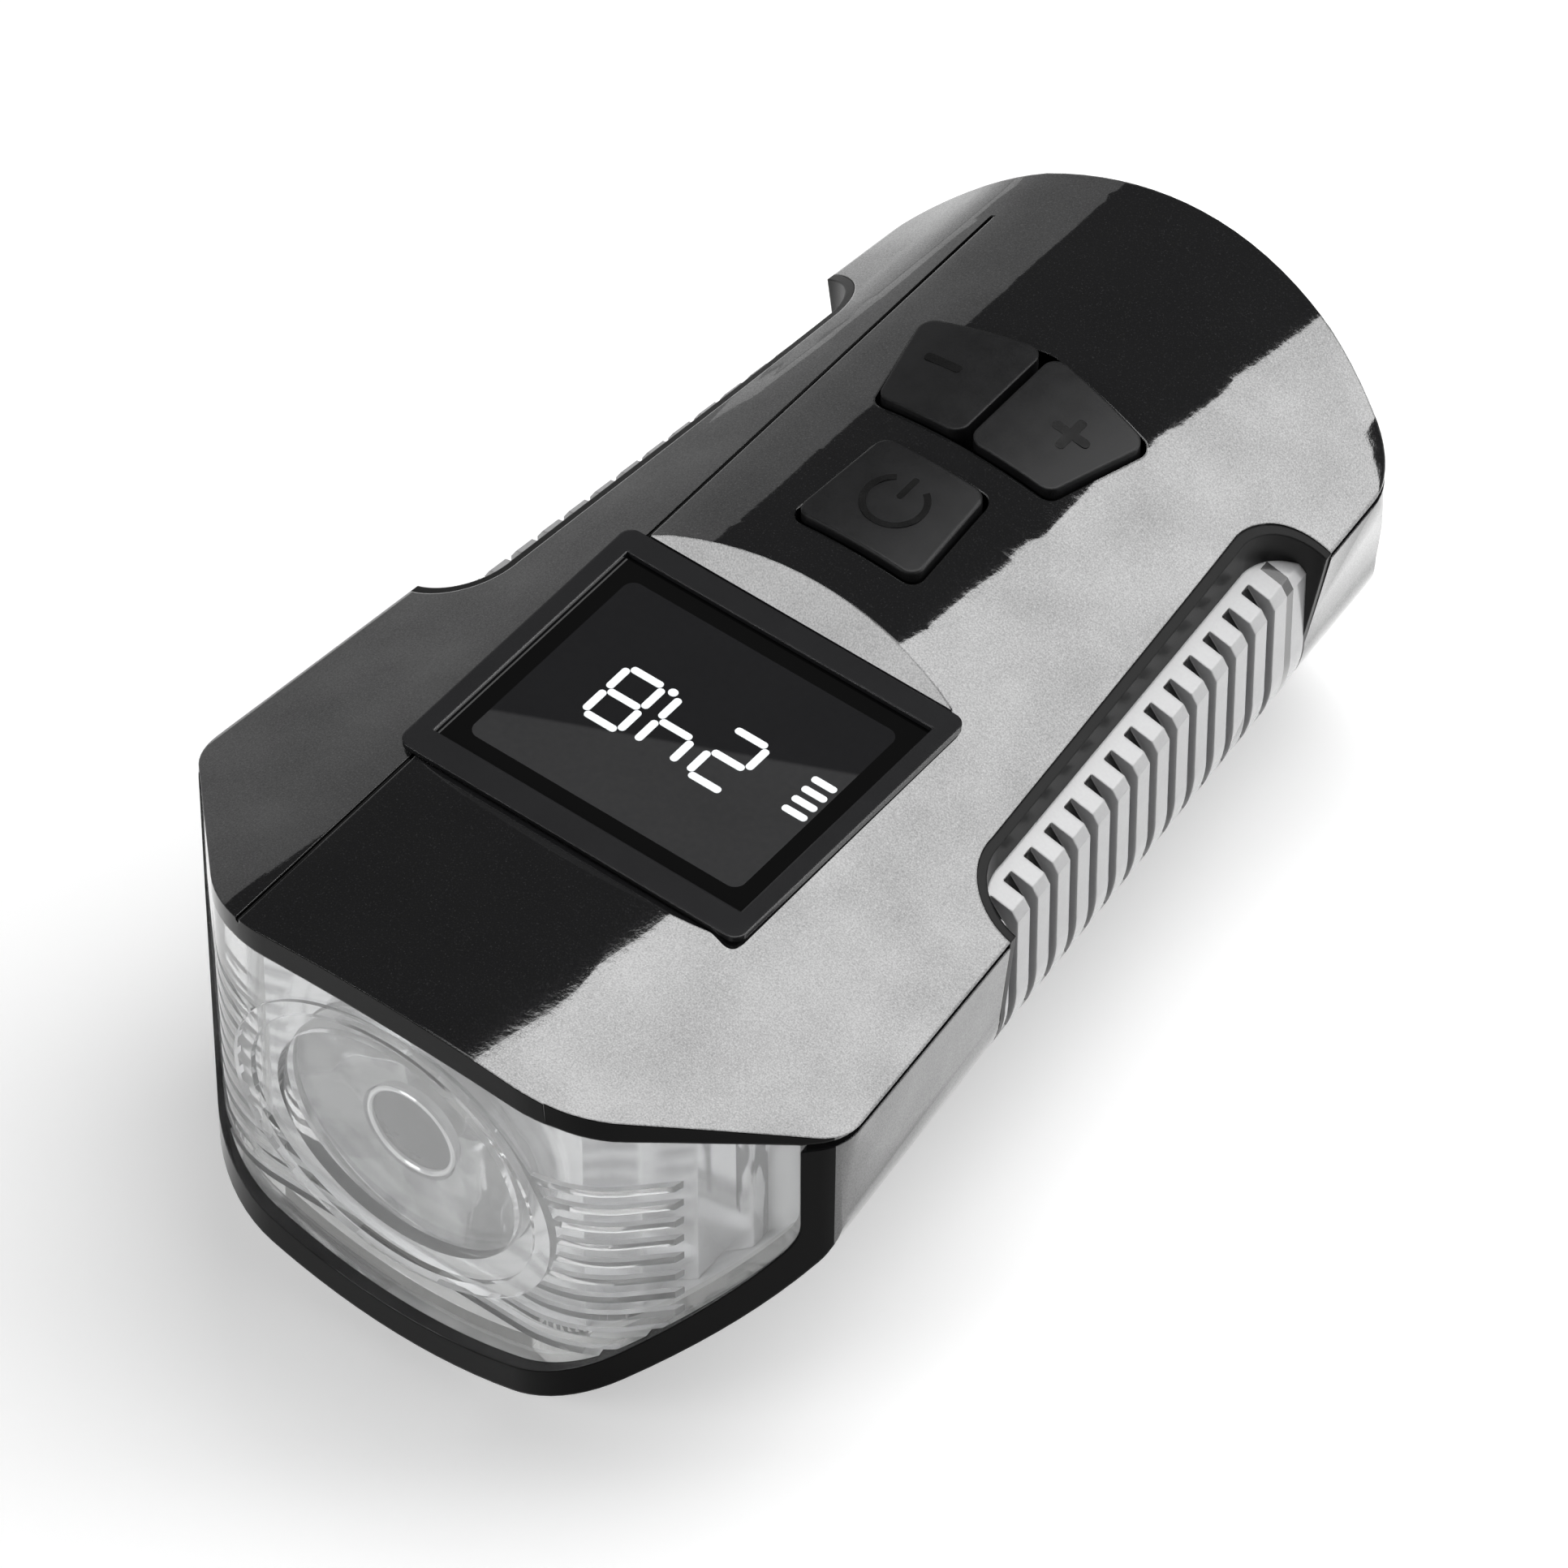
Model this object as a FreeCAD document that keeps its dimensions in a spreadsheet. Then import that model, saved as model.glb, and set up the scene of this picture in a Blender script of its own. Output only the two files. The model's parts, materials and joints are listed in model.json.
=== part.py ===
import FreeCAD, Part
import os
import math
import Sketcher

# Bicycle headlamp with a speed display, a horn and two side grips.
# Frame: +X right, -Y the beam, +Y the rear, +Z up. All sizes in millimetres.
# The origin is under the middle of the lamp, at the level of the slide rail's lowest face.

sizes = {
    # plan outline, seen from above
    "frontLip": 46.5,
    "sectionMargin": 1.5,
    "topLip": 45.8,
    "rearReach": 46.5,
    "rearDome": 5.4,
    "rearCorner": 6.0,
    "frontHalf": 30.3,
    "rearHalf": 20.7,
    "sweepHalf": 15.2,
    "sweepRadius": 10.0,
    "wingBack": 31.9,
    "wingRadius": 4.2,
    # upper shell section
    "seamOver": 1.8,
    "gasketThick": 0.6,
    "gasketInset": 0.5,
    "creaseHalfFront": 15.2,
    "creaseHalfBrow": 15.0,
    "creaseHalfMid": 15.0,
    "creaseHalfRear": 15.8,
    "creaseSoft": 3.4,
    "creaseRise": 5.2,
    "creaseFall": 0.3,
    "crownRiseFront": 0.9,
    "crownRiseBrow": 1.35,
    "crownRiseMid": 2.85,
    "crownRiseRear": 3.9,
    "lineHalf": 13.4,
    "lineWidth": 0.3,
    "lineDrop": 0.2,
    "lineRise": 0.6,
    "lineRear": 39.0,
    # lower shell section
    "bellyOver": 0.2,
    "bellyFront": 0.1,
    "flankFront": 5.0,
    "flankMid": 11.0,
    "flankRear": 8.0,
    "draftFront": 0.0,
    "draftMid": 1.0,
    "draftRear": 2.0,
    "sideDropFront": 9.2,
    "sideDropMid": 7.8,
    "sideDropRear": 11.2,
    # lamp bay behind the lens
    "bayWall": 1.4,
    "bayRim": 2.4,
    "bayCreaseInset": 1.0,
    "bayCreaseDrop": 2.0,
    "bayRise": 0.6,
    "bayWallFront": 2.5,
    "bayWallBack": 1.0,
    "bayFlank": 5.0,
    "sideDropBay": 8.2,
    # battery and board channel
    "channelHalf": 14.4,
    "floorThick": 2.0,
    "channelSideRise": 10.6,
    "rearWall": 4.7,
    "roofWall": 1.6,
    "roofInset": 1.2,
    "channelRoofStart": 3.4,
    # display
    "displayLift": 0.2,
    "displayFront": 26.5,
    "displayRear": 0.8,
    "displayHalf": 15.0,
    "bezelRise": 0.45,
    "bezelSide": 1.5,
    "bezelFrontRim": 2.3,
    "bezelRearRim": 2.0,
    "bezelCorner": 1.0,
    "skirtInset": 0.8,
    "skirtDrop": 2.2,
    "windowSink": 0.4,
    "windowThick": 1.2,
    "windowLedge": 0.9,
    "frontSlopeRun": 1.8,
    "frontSlopeRise": 1.1,
    "rearSlopeRun": 2.4,
    "rearSlopeRise": 2.8,
    "lcdThick": 1.25,
    "guideInset": 2.8,
    "fitGap": 0.1,
    # keys
    "keyProud": 0.7,
    "keyGap": 0.3,
    "keyDrop": 1.2,
    "keyFlange": 0.7,
    "keyFlangeThick": 0.7,
    "keyCorner": 1.1,
    "powerFront": 5.6,
    "powerRear": 15.0,
    "powerHalfFront": 5.35,
    "powerHalfRear": 4.6,
    "modeFront": 18.1,
    "modeRearOuter": 26.5,
    "modeRearInner": 28.3,
    "modeHalfFront": 7.6,
    "modeHalfRear": 10.0,
    "modeSplit": 0.35,
    "stemRadius": 1.4,
    "stemSeat": 1.0,
    "keyTravel": 0.6,
    "switchSide": 6.0,
    "switchTall": 3.0,
    "switchGap": 0.05,
    "sheetThick": 0.45,
    "sheetGap": 0.1,
    "sheetFrontEdge": 1.6,
    "sheetRearEdge": 2.7,
    "sheetHole": 2.2,
    # electronics
    "boardGap": 1.4,
    "boardThick": 1.6,
    "boardInset": 0.4,
    "boardFrontGap": 2.1,
    "boardRearGap": 7.0,
    "postInset": 2.0,
    "postEdge": 2.6,
    "boardPostRadius": 1.7,
    "postRoot": 4.6,
    "boardScrewRadius": 0.8,
    "boardScrewHead": 1.5,
    "boardScrewHeadThick": 1.0,
    "boardScrewLength": 5.0,
    "cellRadius": 9.15,
    "cellLength": 49.5,
    "cellGap": 1.8,
    "cradleWall": 1.2,
    "cradleGap": 0.1,
    "cradleInset": 1.0,
    "tabThick": 0.3,
    "tabSide": 6.0,
    "speakerRadius": 6.4,
    "speakerThick": 3.2,
    "speakerCapRadius": 4.4,
    "speakerCapThick": 1.4,
    "speakerDrop": 0.1,
    "speakerRingThick": 0.8,
    "speakerRingWidth": 1.4,
    "slotHalf": 4.6,
    "slotHeight": 1.1,
    "slotPitch": 2.2,
    "slotCount": 5,
    "portHalf": 4.5,
    "portTall": 3.2,
    "portDepth": 7.0,
    "coverRecess": 2.3,
    "portWall": 0.4,
    "portBack": 1.0,
    "tongueSink": 1.2,
    "chargeRise": 1.9,
    "chargeThick": 1.0,
    "chargeLength": 12.0,
    "chargeHalf": 6.2,
    "coverHalf": 6.2,
    "coverTall": 6.0,
    "coverThick": 1.5,
    "beadSlack": 0.0001,
    "coverGap": 0.3,
    "coverPlug": 0.6,
    "coverPlugHalf": 3.4,
    "coverPlugTall": 1.8,
    # lamp
    "beamLift": 1.9,
    "ringProud": 0.3,
    "ringHalf": 14.0,
    "ringTall": 12.0,
    "seatHalf": 12.5,
    "seatTall": 11.0,
    "seatDepth": 0.5,
    "mouthHalf": 10.5,
    "mouthTall": 9.3,
    "mouthDepth": 1.5,
    "lensSink": 0.9,
    "lensThick": 2.0,
    "lensGap": 0.05,
    "fluteCount": 10,
    "flutePitch": 1.88,
    "fluteTall": 0.7,
    "fluteDeep": 0.7,
    "fluteLowest": 7.6,
    "fluteEnd": 20.4,
    "sealThick": 0.8,
    "sealWidth": 1.2,
    "trayWall": 1.0,
    "trayGap": 0.05,
    "finGap": 0.6,
    "trayBackThick": 1.2,
    "trayHole": 5.2,
    "opticGap": 0.1,
    "opticRadius": 10.4,
    "opticLand": 1.2,
    "opticBulge": 0.7,
    "opticBackRadius": 4.2,
    "opticPocket": 2.6,
    "opticPocketDepth": 3.4,
    "hubRadius": 4.1,
    "hubDepth": 2.2,
    "hubDraft": 0.3,
    "cupWall": 0.9,
    "facetPitch": 2.6,
    "facetCount": 4,
    "facetBack": 4.6,
    "reflectorInset": 1.1,
    "ledSide": 3.5,
    "ledTall": 1.1,
    "ledBoardRadius": 8.6,
    "ledBoardThick": 1.6,
    "sinkRadius": 9.0,
    "sinkBase": 1.2,
    "finThick": 0.9,
    "finPitch": 2.8,
    "finCount": 6,
    "finLength": 1.8,
    "finHalf": 5.4,
    # grips
    "gripFront": 11.0,
    "gripRear": 32.0,
    "gripDepth": 5.1,
    "gripEndRun": 5.3,
    "borderWidth": 0.7,
    "borderDrop": 0.15,
    "borderLow": -17.0,
    "gripFlangeTop": 0.15,
    "gripFlangeEdge": -1.1,
    "gripFlangeInset": 1.9,
    "gripSideInset": 1.4,
    "gripShoulder": -2.0,
    "gripSideLow": -8.7,
    "gripFoot": -17.4,
    "gripSideRadius": 11.0,
    "ribCount": 14,
    "ribPitch": 2.66,
    "ribFirst": 8.3,
    "ribSlot": 1.05,
    "ribSlotInset": 3.6,
    "ribSlotTop": -0.8,
    "ribSlotKnee": -2.9,
    "ribDeep": 0.8,
    "ribLow": -15.2,
    # slide rail under the lamp
    "railFlangeHalf": 11.0,
    "railFlangeThick": 1.6,
    "railNeckHalf": 7.0,
    "railHeight": 3.2,
    "railFront": 12.0,
    "railRear": 30.0,
    "railNotchHalf": 3.2,
    "railNotchLength": 3.0,
    "railNotchFront": 10.0,
    "railNotchDeep": 0.9,
    "railScrewFront": 5.0,
    "railScrewRear": 23.0,
    "railScrewRadius": 1.1,
    "railScrewHead": 2.2,
    "railScrewHeadThick": 1.0,
    "railScrewGrip": 1.8,
    "padHalf": 7.5,
    "padThick": 2.0,
    # case screws
    "bossOffFront": 4.6,
    "bossBehindWing": 11.4,
    "bossInsetRear": 1.4,
    "bossBeforeRear": 8.1,
    "bossRadius": 2.9,
    "seatDropFront": 13.8,
    "seatDropRear": 13.8,
    "screwReach": 1.4,
    "caseScrewRadius": 1.15,
    "caseScrewHead": 2.1,
    "caseScrewHeadThick": 1.9,
    "caseScrewGap": 0.2,
}

fits = {
    # what follows from the sizes: stations, walls, seats, gaps and the places of what lines up
    "frontStation": "size.frontLip + size.sectionMargin",
    "rearStation": "size.rearReach + size.sectionMargin",
    "bellyMid": "size.railHeight + size.bellyOver",
    "bellyRear": "size.railHeight + size.bellyOver",
    "channelFloor": "fit.bellyMid + size.floorThick",
    "boardLow": "fit.channelFloor + size.cradleWall + size.cradleGap + 2 * size.cellRadius + size.boardGap",
    "seamTop": "fit.boardLow + size.seamOver",
    "creaseHigh": "fit.seamTop + size.creaseRise",
    "creaseHighRear": "fit.creaseHigh - size.creaseFall",
    "crownRear": "fit.creaseHighRear + size.crownRiseRear",
    "lineFront": "fit.creaseHigh - size.lineDrop",
    "lineBack": "fit.creaseHigh + size.lineRise",
    "sideLowFront": "fit.seamTop - size.sideDropFront",
    "sideLowMid": "fit.seamTop - size.sideDropMid",
    "sideLowRear": "fit.seamTop - size.sideDropRear",
    "sideLowBay": "fit.seamTop - size.sideDropBay",
    "channelFront": "size.displayFront - size.skirtInset - size.fitGap",
    "channelRear": "size.rearReach - size.rearWall",
    "channelSideLow": "fit.channelFloor + size.channelSideRise",
    "channelRoofHalf": "size.channelHalf - size.roofInset",
    "channelRoofFront": "fit.creaseHigh - size.roofWall",
    "bayBack": "fit.channelFront + size.bayWall",
    "bayFloorFront": "size.bellyFront + size.bayWallFront",
    "bayFloorBack": "fit.bellyMid + size.bayWallBack",
    "displayPlane": "fit.creaseHigh + size.displayLift",
    "keyBottom": "fit.creaseHigh - size.keyDrop",
    "keyFlangeTop": "fit.keyBottom + size.keyFlangeThick",
    "channelRoofRear": "fit.keyFlangeTop + size.fitGap",
    "powerY": "(size.powerFront + size.powerRear) / 2",
    "modeX": "(size.modeHalfFront + size.modeHalfRear) / 4 + size.modeSplit / 2",
    "modeY": "(2 * size.modeFront + size.modeRearOuter + size.modeRearInner) / 4",
    "switchTop": "fit.boardLow + size.boardThick + size.switchTall",
    "sheetLow": "fit.switchTop + size.switchGap",
    "stemLow": "fit.switchTop + size.keyTravel + size.switchGap",
    "stemTop": "fit.keyBottom + size.stemSeat",
    "sheetHalf": "size.channelHalf - size.sheetGap",
    "sheetFront": "size.powerFront - size.sheetFrontEdge",
    "sheetRear": "size.modeRearInner + size.sheetRearEdge",
    "boardHalf": "size.channelHalf - size.boardInset",
    "boardFront": "fit.channelFront - size.boardFrontGap",
    "boardRear": "fit.channelRear - size.boardRearGap",
    "boardPostX": "size.channelHalf - size.postInset",
    "boardPostFront": "fit.boardFront - size.postEdge",
    "boardPostRear": "fit.boardRear - size.postEdge",
    "boardPostLow": "fit.channelFloor + size.postRoot",
    "cellFront": "fit.channelFront - size.cellGap",
    "speakerHeight": "fit.boardLow - size.speakerRadius - size.speakerDrop",
    "chargeLow": "fit.channelFloor + size.chargeRise",
    "chargeFront": "fit.channelRear - size.chargeLength",
    "portHeight": "fit.chargeLow + size.chargeThick + size.portTall / 2",
    "portFace": "size.rearReach - size.coverRecess",
    "bayTop": "fit.creaseHigh - size.bayCreaseDrop + size.bayRise",
    "beamHeight": "(fit.bayFloorFront + fit.bayTop) / 2 + size.beamLift",
    "lensFront": "size.frontLip - size.lensSink",
    "lensBack": "fit.lensFront - size.lensThick",
    "ringFace": "fit.lensFront + size.ringProud",
    "trayBackFace": "fit.bayBack + size.finLength + size.sinkBase + size.finGap",
    "boardFace": "fit.trayBackFace + size.trayBackThick + size.ledBoardThick",
    "opticFront": "fit.lensBack - size.opticGap",
    "opticDepth": "fit.opticFront - fit.boardFace - size.opticGap",
    "caseScrewFrontX": "size.channelHalf + size.bossOffFront",
    "caseScrewRearX": "size.channelHalf - size.bossInsetRear",
    "caseScrewFrontY": "size.wingBack - size.bossBehindWing",
    "caseScrewRearY": "size.rearReach - size.bossBeforeRear",
    "caseScrewSeatFront": "fit.seamTop - size.seatDropFront",
    "caseScrewSeatRear": "fit.seamTop - size.seatDropRear",
    "caseScrewTop": "fit.seamTop + size.screwReach",
    "neckFront": "fit.caseScrewRearY - size.bossRadius",
    "neckHalf": "fit.caseScrewRearX - size.bossRadius",
    "railScrewTop": "size.railHeight + size.railScrewGrip",
    "padHigh": "size.railHeight + size.padThick",
}

# parts on the main board: centre across and along, half sizes across and along, height
chipPlaces = (
    ("0", "size.powerFront - 3.0", 3.5, 2.5, 1.2),
    ("fit.boardHalf - 4.4", "size.powerFront + 0.9", 1.6, 3.2, 1.8),
    ("-(fit.boardHalf - 4.4)", "size.powerFront + 2.4", 2.0, 2.0, 1.0),
    ("0", "fit.boardRear - 3.2", 4.0, 2.6, 1.4),
    ("fit.boardHalf - 4.6", "size.modeFront - 2.0", 1.4, 1.4, 2.4),
    ("-(fit.boardHalf - 5.0)", "size.modeFront - 2.0", 1.8, 1.0, 0.8),
)

doc = FreeCAD.newDocument("bicycle_headlamp")
size = doc.addObject("Spreadsheet::Sheet", "size")
for row, (name, value) in enumerate(sizes.items(), start=1):
    size.set("A%d" % row, name)
    size.set("B%d" % row, str(value))
    size.setAlias("B%d" % row, name)
doc.recompute()
fit = doc.addObject("App::VarSet", "fit")
for name, expression in fits.items():
    fit.addProperty("App::PropertyFloat", name)
    fit.setExpression(name, expression)
doc.recompute()

nodes = {}
across = FreeCAD.Rotation(FreeCAD.Vector(1, 0, 0), -90)


def number(expression):
    return float(size.evalExpression(str(expression)))


def keep(item, name):
    item.Label = name
    nodes[name] = item
    return item


# Sketch helpers. Every corner of an outline is bound to two expressions.


def newBody(name):
    return doc.addObject("PartDesign::Body", name + "_body")


def sketchOn(body, name, role, offset="0"):
    sketch = body.newObject("Sketcher::SketchObject", name)
    plane = [item for item in body.Origin.OriginFeatures if item.Role == role][0]
    sketch.AttachmentSupport = [(plane, "")]
    sketch.MapMode = "FlatFace"
    sketch.setExpression("AttachmentOffset.Base.z", offset)
    return sketch


def bind(sketch, kind, geometry, point, expression):
    index = sketch.addConstraint(Sketcher.Constraint(kind, geometry, point, number(expression)))
    name = "%s_%d_%d" % (kind, geometry, point)
    sketch.renameConstraint(index, name)
    sketch.setExpression("Constraints." + name, expression)


def bindRadius(sketch, geometry, expression):
    index = sketch.addConstraint(Sketcher.Constraint("Radius", geometry, number(expression)))
    name = "radius_%d" % geometry
    sketch.renameConstraint(index, name)
    sketch.setExpression("Constraints." + name, expression)


def arcBetween(start, end, radius):
    # the shorter arc from start to end; a positive radius bulges to the right of the way
    chord = end - start
    half = chord.Length / 2
    reach = math.sqrt(max(abs(radius) ** 2 - half ** 2, 0.0))
    left = FreeCAD.Vector(-chord.y, chord.x, 0).normalize()
    side = 1 if radius > 0 else -1
    centre = start + chord * 0.5 + left * (reach * side)
    low, high = (start, end) if radius > 0 else (end, start)
    angles = [math.atan2(spot.y - centre.y, spot.x - centre.x) for spot in (low, high)]
    if angles[1] < angles[0]:
        angles[1] += 2 * math.pi
    return Part.ArcOfCircle(Part.Circle(centre, FreeCAD.Vector(0, 0, 1), abs(radius)), angles[0], angles[1])


def outline(sketch, corners, radii=None):
    # corners: pairs of expressions; radii: edge number -> expression with the arc's radius
    radii = radii or {}
    places = [FreeCAD.Vector(number(x), number(y), 0) for x, y in corners]
    count = len(places)
    first = sketch.GeometryCount
    for i, start in enumerate(places):
        end = places[(i + 1) % count]
        if i in radii:
            sketch.addGeometry(arcBetween(start, end, number(radii[i])))
        else:
            sketch.addGeometry(Part.LineSegment(start, end))
    ends = []
    for i in range(count):
        ends.append((2, 1) if i in radii and number(radii[i]) < 0 else (1, 2))
    for i, (x, y) in enumerate(corners):
        sketch.addConstraint(
            Sketcher.Constraint("Coincident", first + i - 1 if i else first + count - 1,
                                ends[i - 1][1], first + i, ends[i][0]))
        bind(sketch, "DistanceX", first + i, ends[i][0], x)
        bind(sketch, "DistanceY", first + i, ends[i][0], y)
    for i, expression in radii.items():
        bindRadius(sketch, first + i, "abs(%s)" % expression)


def circle(sketch, x, y, radius):
    index = sketch.addGeometry(
        Part.Circle(FreeCAD.Vector(number(x), number(y), 0), FreeCAD.Vector(0, 0, 1), number(radius)))
    bind(sketch, "DistanceX", index, 3, x)
    bind(sketch, "DistanceY", index, 3, y)
    bindRadius(sketch, index, radius)


def rectangle(sketch, left, right, low, high):
    outline(sketch, [(left, low), (right, low), (right, high), (left, high)])


def feature(body, kind, sketch, length, backwards=False, midplane=False):
    item = body.newObject("PartDesign::" + kind, kind.lower())
    item.Profile = sketch
    item.setExpression("Length", length)
    item.Reversed = backwards
    if midplane:
        item.SideType = "Symmetric"
    return item


def pad(body, sketch, length, backwards=False, midplane=False):
    return feature(body, "Pad", sketch, length, backwards, midplane)


def pocket(body, sketch, length, backwards=False, midplane=False):
    return feature(body, "Pocket", sketch, length, backwards, midplane)


def loft(body, sketches, kind="AdditiveLoft", ruled=True):
    item = body.newObject("PartDesign::" + kind, kind.lower())
    item.Profile = sketches[0]
    item.Sections = sketches[1:]
    item.Ruled = ruled
    return item


def revolve(body, sketch, axis="V_Axis", kind="Revolution"):
    item = body.newObject("PartDesign::" + kind, kind.lower())
    item.Profile = sketch
    item.ReferenceAxis = (sketch, [axis])
    item.Angle = 360
    return item


def repeat(body, features, role, pitch, count):
    item = body.newObject("PartDesign::LinearPattern", "pattern")
    item.Originals = features
    axis = [each for each in body.Origin.OriginFeatures if each.Role == role][0]
    item.Direction = (axis, [""])
    item.setExpression("Length", "%s * (%s - 1)" % (pitch, count))
    item.setExpression("Occurrences", count)
    body.Tip = item
    return item


def edgesAlongZ(shape, corners):
    # the upright edges that stand on the given corners of an outline
    places = [FreeCAD.Vector(number(x), number(y), 0) for x, y in corners]
    found = []
    for i, edge in enumerate(shape.Edges, start=1):
        if not isinstance(edge.Curve, Part.Line) or abs(edge.tangentAt(edge.FirstParameter).z) < 0.999:
            continue
        foot = edge.valueAt(edge.FirstParameter)
        foot.z = 0
        if any((foot - spot).Length < 0.01 for spot in places):
            found.append("Edge%d" % i)
    return found


def roundUprights(body, base, corners, radius):
    doc.recompute()
    item = body.newObject("PartDesign::Fillet", "fillet")
    item.Base = (base, edgesAlongZ(base.Shape, corners))
    item.setExpression("Radius", radius)
    return item


# Solid helpers


def place(item, corner, rotation=None):
    if rotation:
        item.Placement = FreeCAD.Placement(FreeCAD.Vector(0, 0, 0), rotation)
    for axis, expression in zip("xyz", corner):
        item.setExpression("Placement.Base." + axis, expression)
    return item


def box(name, low, high):
    item = doc.addObject("Part::Box", name)
    for side, start, end in zip(("Length", "Width", "Height"), low, high):
        item.setExpression(side, "(%s) - (%s)" % (end, start))
    return place(item, low)


def cylinder(name, radius, length, base, rotation=None):
    item = doc.addObject("Part::Cylinder", name)
    item.setExpression("Radius", radius)
    item.setExpression("Height", length)
    return place(item, base, rotation)


def group(kind, name, parts):
    item = doc.addObject("Part::" + kind, name)
    item.Shapes = parts
    return item


def union(name, parts):
    return group("MultiFuse", name, parts)


def apart(name, parts):
    item = doc.addObject("Part::Compound", name)
    item.Links = parts
    return item


def cut(name, base, tool):
    item = doc.addObject("Part::Cut", name)
    item.Base = base
    item.Tool = tool
    return item


def common(name, base, tool):
    item = doc.addObject("Part::Common", name)
    item.Base = base
    item.Tool = tool
    return item


# Outline of the body


def halfAt(y):
    # the sides taper in one straight line from the front station to the rear one
    share = "(fit.frontStation + (%s)) / (fit.frontStation + fit.rearStation)" % y
    return "(size.frontHalf - (size.frontHalf - size.rearHalf) * %s)" % share


def taper():
    return "atan2(size.frontHalf - size.rearHalf; fit.frontStation + fit.rearStation)"


def mirrored(corners):
    return [("-(%s)" % x, y) for x, y in reversed(corners)]


def planOutline(sketch, lip, inset="0", notched=True):
    # straight front, rounded corners, swept edges, wings, sides with a recess each, domed rear
    run = "(%s - size.sweepHalf)" % halfAt("-size.wingBack")
    rise = "(%s - size.wingBack)" % lip
    length = "sqrt(%s * %s + %s * %s)" % (run, run, rise, rise)
    sweep = "atan2(%s; %s)" % (rise, run)
    radius = "(size.sweepRadius - (%s))" % inset
    corner = "(size.sweepHalf - (%s) * tan(%s / 2))" % (inset, sweep)
    front = "(-(%s) + (%s))" % (lip, inset)
    back = "(%s * tan(%s / 2))" % (radius, sweep)
    start = ("%s - %s" % (corner, back), front)
    end = ("%s + %s * %s / %s" % (corner, back, run, length),
           "%s + %s * %s / %s" % (front, back, rise, length))
    wingX = "(%s - (%s))" % (halfAt("-size.wingBack"), inset)
    wingY = "(-size.wingBack + (%s) * 0.4)" % inset
    turn = "(atan2(%s; %s) + %s)" % (run, rise, taper())
    away = "(size.wingRadius * tan(%s / 2))" % turn
    before = ("%s - %s * %s / %s" % (wingX, away, run, length),
              "%s - %s * %s / %s" % (wingY, away, rise, length))
    sideY = "(%s + %s)" % (wingY, away)
    side = [start, end, before, ("%s - (%s)" % (halfAt(sideY), inset), sideY)]
    if notched:
        side += recessCorners(inset)
    rearY = "(size.rearReach - size.rearDome - (%s))" % inset
    rearX = "(%s - (%s))" % (halfAt(rearY), inset)
    dome = "((%s * %s + size.rearDome * size.rearDome) / (2 * size.rearDome))" % (rearX, rearX)
    lean = "asin(%s / %s)" % (rearX, dome)
    cutBack = "(size.rearCorner * tan((90 deg - %s - %s) / 2))" % (taper(), lean)
    cornerX = "(%s - %s * cos(%s))" % (rearX, cutBack, lean)
    cornerY = "(size.rearReach - (%s) - %s + sqrt(%s ^ 2 - %s ^ 2))" % (inset, dome, dome, cornerX)
    sideEnd = "(%s - %s * cos(%s))" % (rearY, cutBack, taper())
    side += [("%s - (%s)" % (halfAt(sideEnd), inset), sideEnd), (cornerX, cornerY)]
    count = 2 * len(side)
    radii = {0: radius, count - 2: radius, 2: "size.wingRadius", count - 4: "size.wingRadius"}
    radii[len(side) - 1] = dome
    radii[len(side) - 2] = radii[len(side)] = "size.rearCorner"
    if notched:
        for edge in (4, 6, count - 6, count - 8):
            radii[edge] = "-(%s)" % recessRadius()
    outline(sketch, side + mirrored(side), radii)


def recessCorners(inset="0", smaller="0"):
    # the recess of a grip: in from the side in an arc, along it, and out again
    deep = "(size.gripDepth - (%s))" % smaller
    run = "(size.gripEndRun - (%s))" % smaller
    front = "(-size.gripFront + (%s))" % smaller
    rear = "(size.gripRear - (%s))" % smaller
    places = []
    inner = (("(%s + %s)" % (front, run), deep), ("(%s - %s)" % (rear, run), deep))
    for y, depth in ((front, "0"),) + inner + ((rear, "0"),):
        places.append(("%s - %s - (%s)" % (halfAt(y), depth, inset), y))
    return places


def recessRadius(smaller="0"):
    deep = "(size.gripDepth - (%s))" % smaller
    run = "(size.gripEndRun - (%s))" % smaller
    return "(%s * %s + %s * %s) / (2 * %s)" % (deep, deep, run, run, deep)


def trimToPlan(body, name, lip, inset="0", notched=True):
    sketch = sketchOn(body, name, "XY_Plane")
    far = "2 * fit.frontStation"
    rectangle(sketch, "-" + far, far, "-" + far, far)
    planOutline(sketch, lip, inset, notched)
    return pocket(body, sketch, "4 * fit.frontStation", midplane=True)


# Sections of the body


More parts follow.
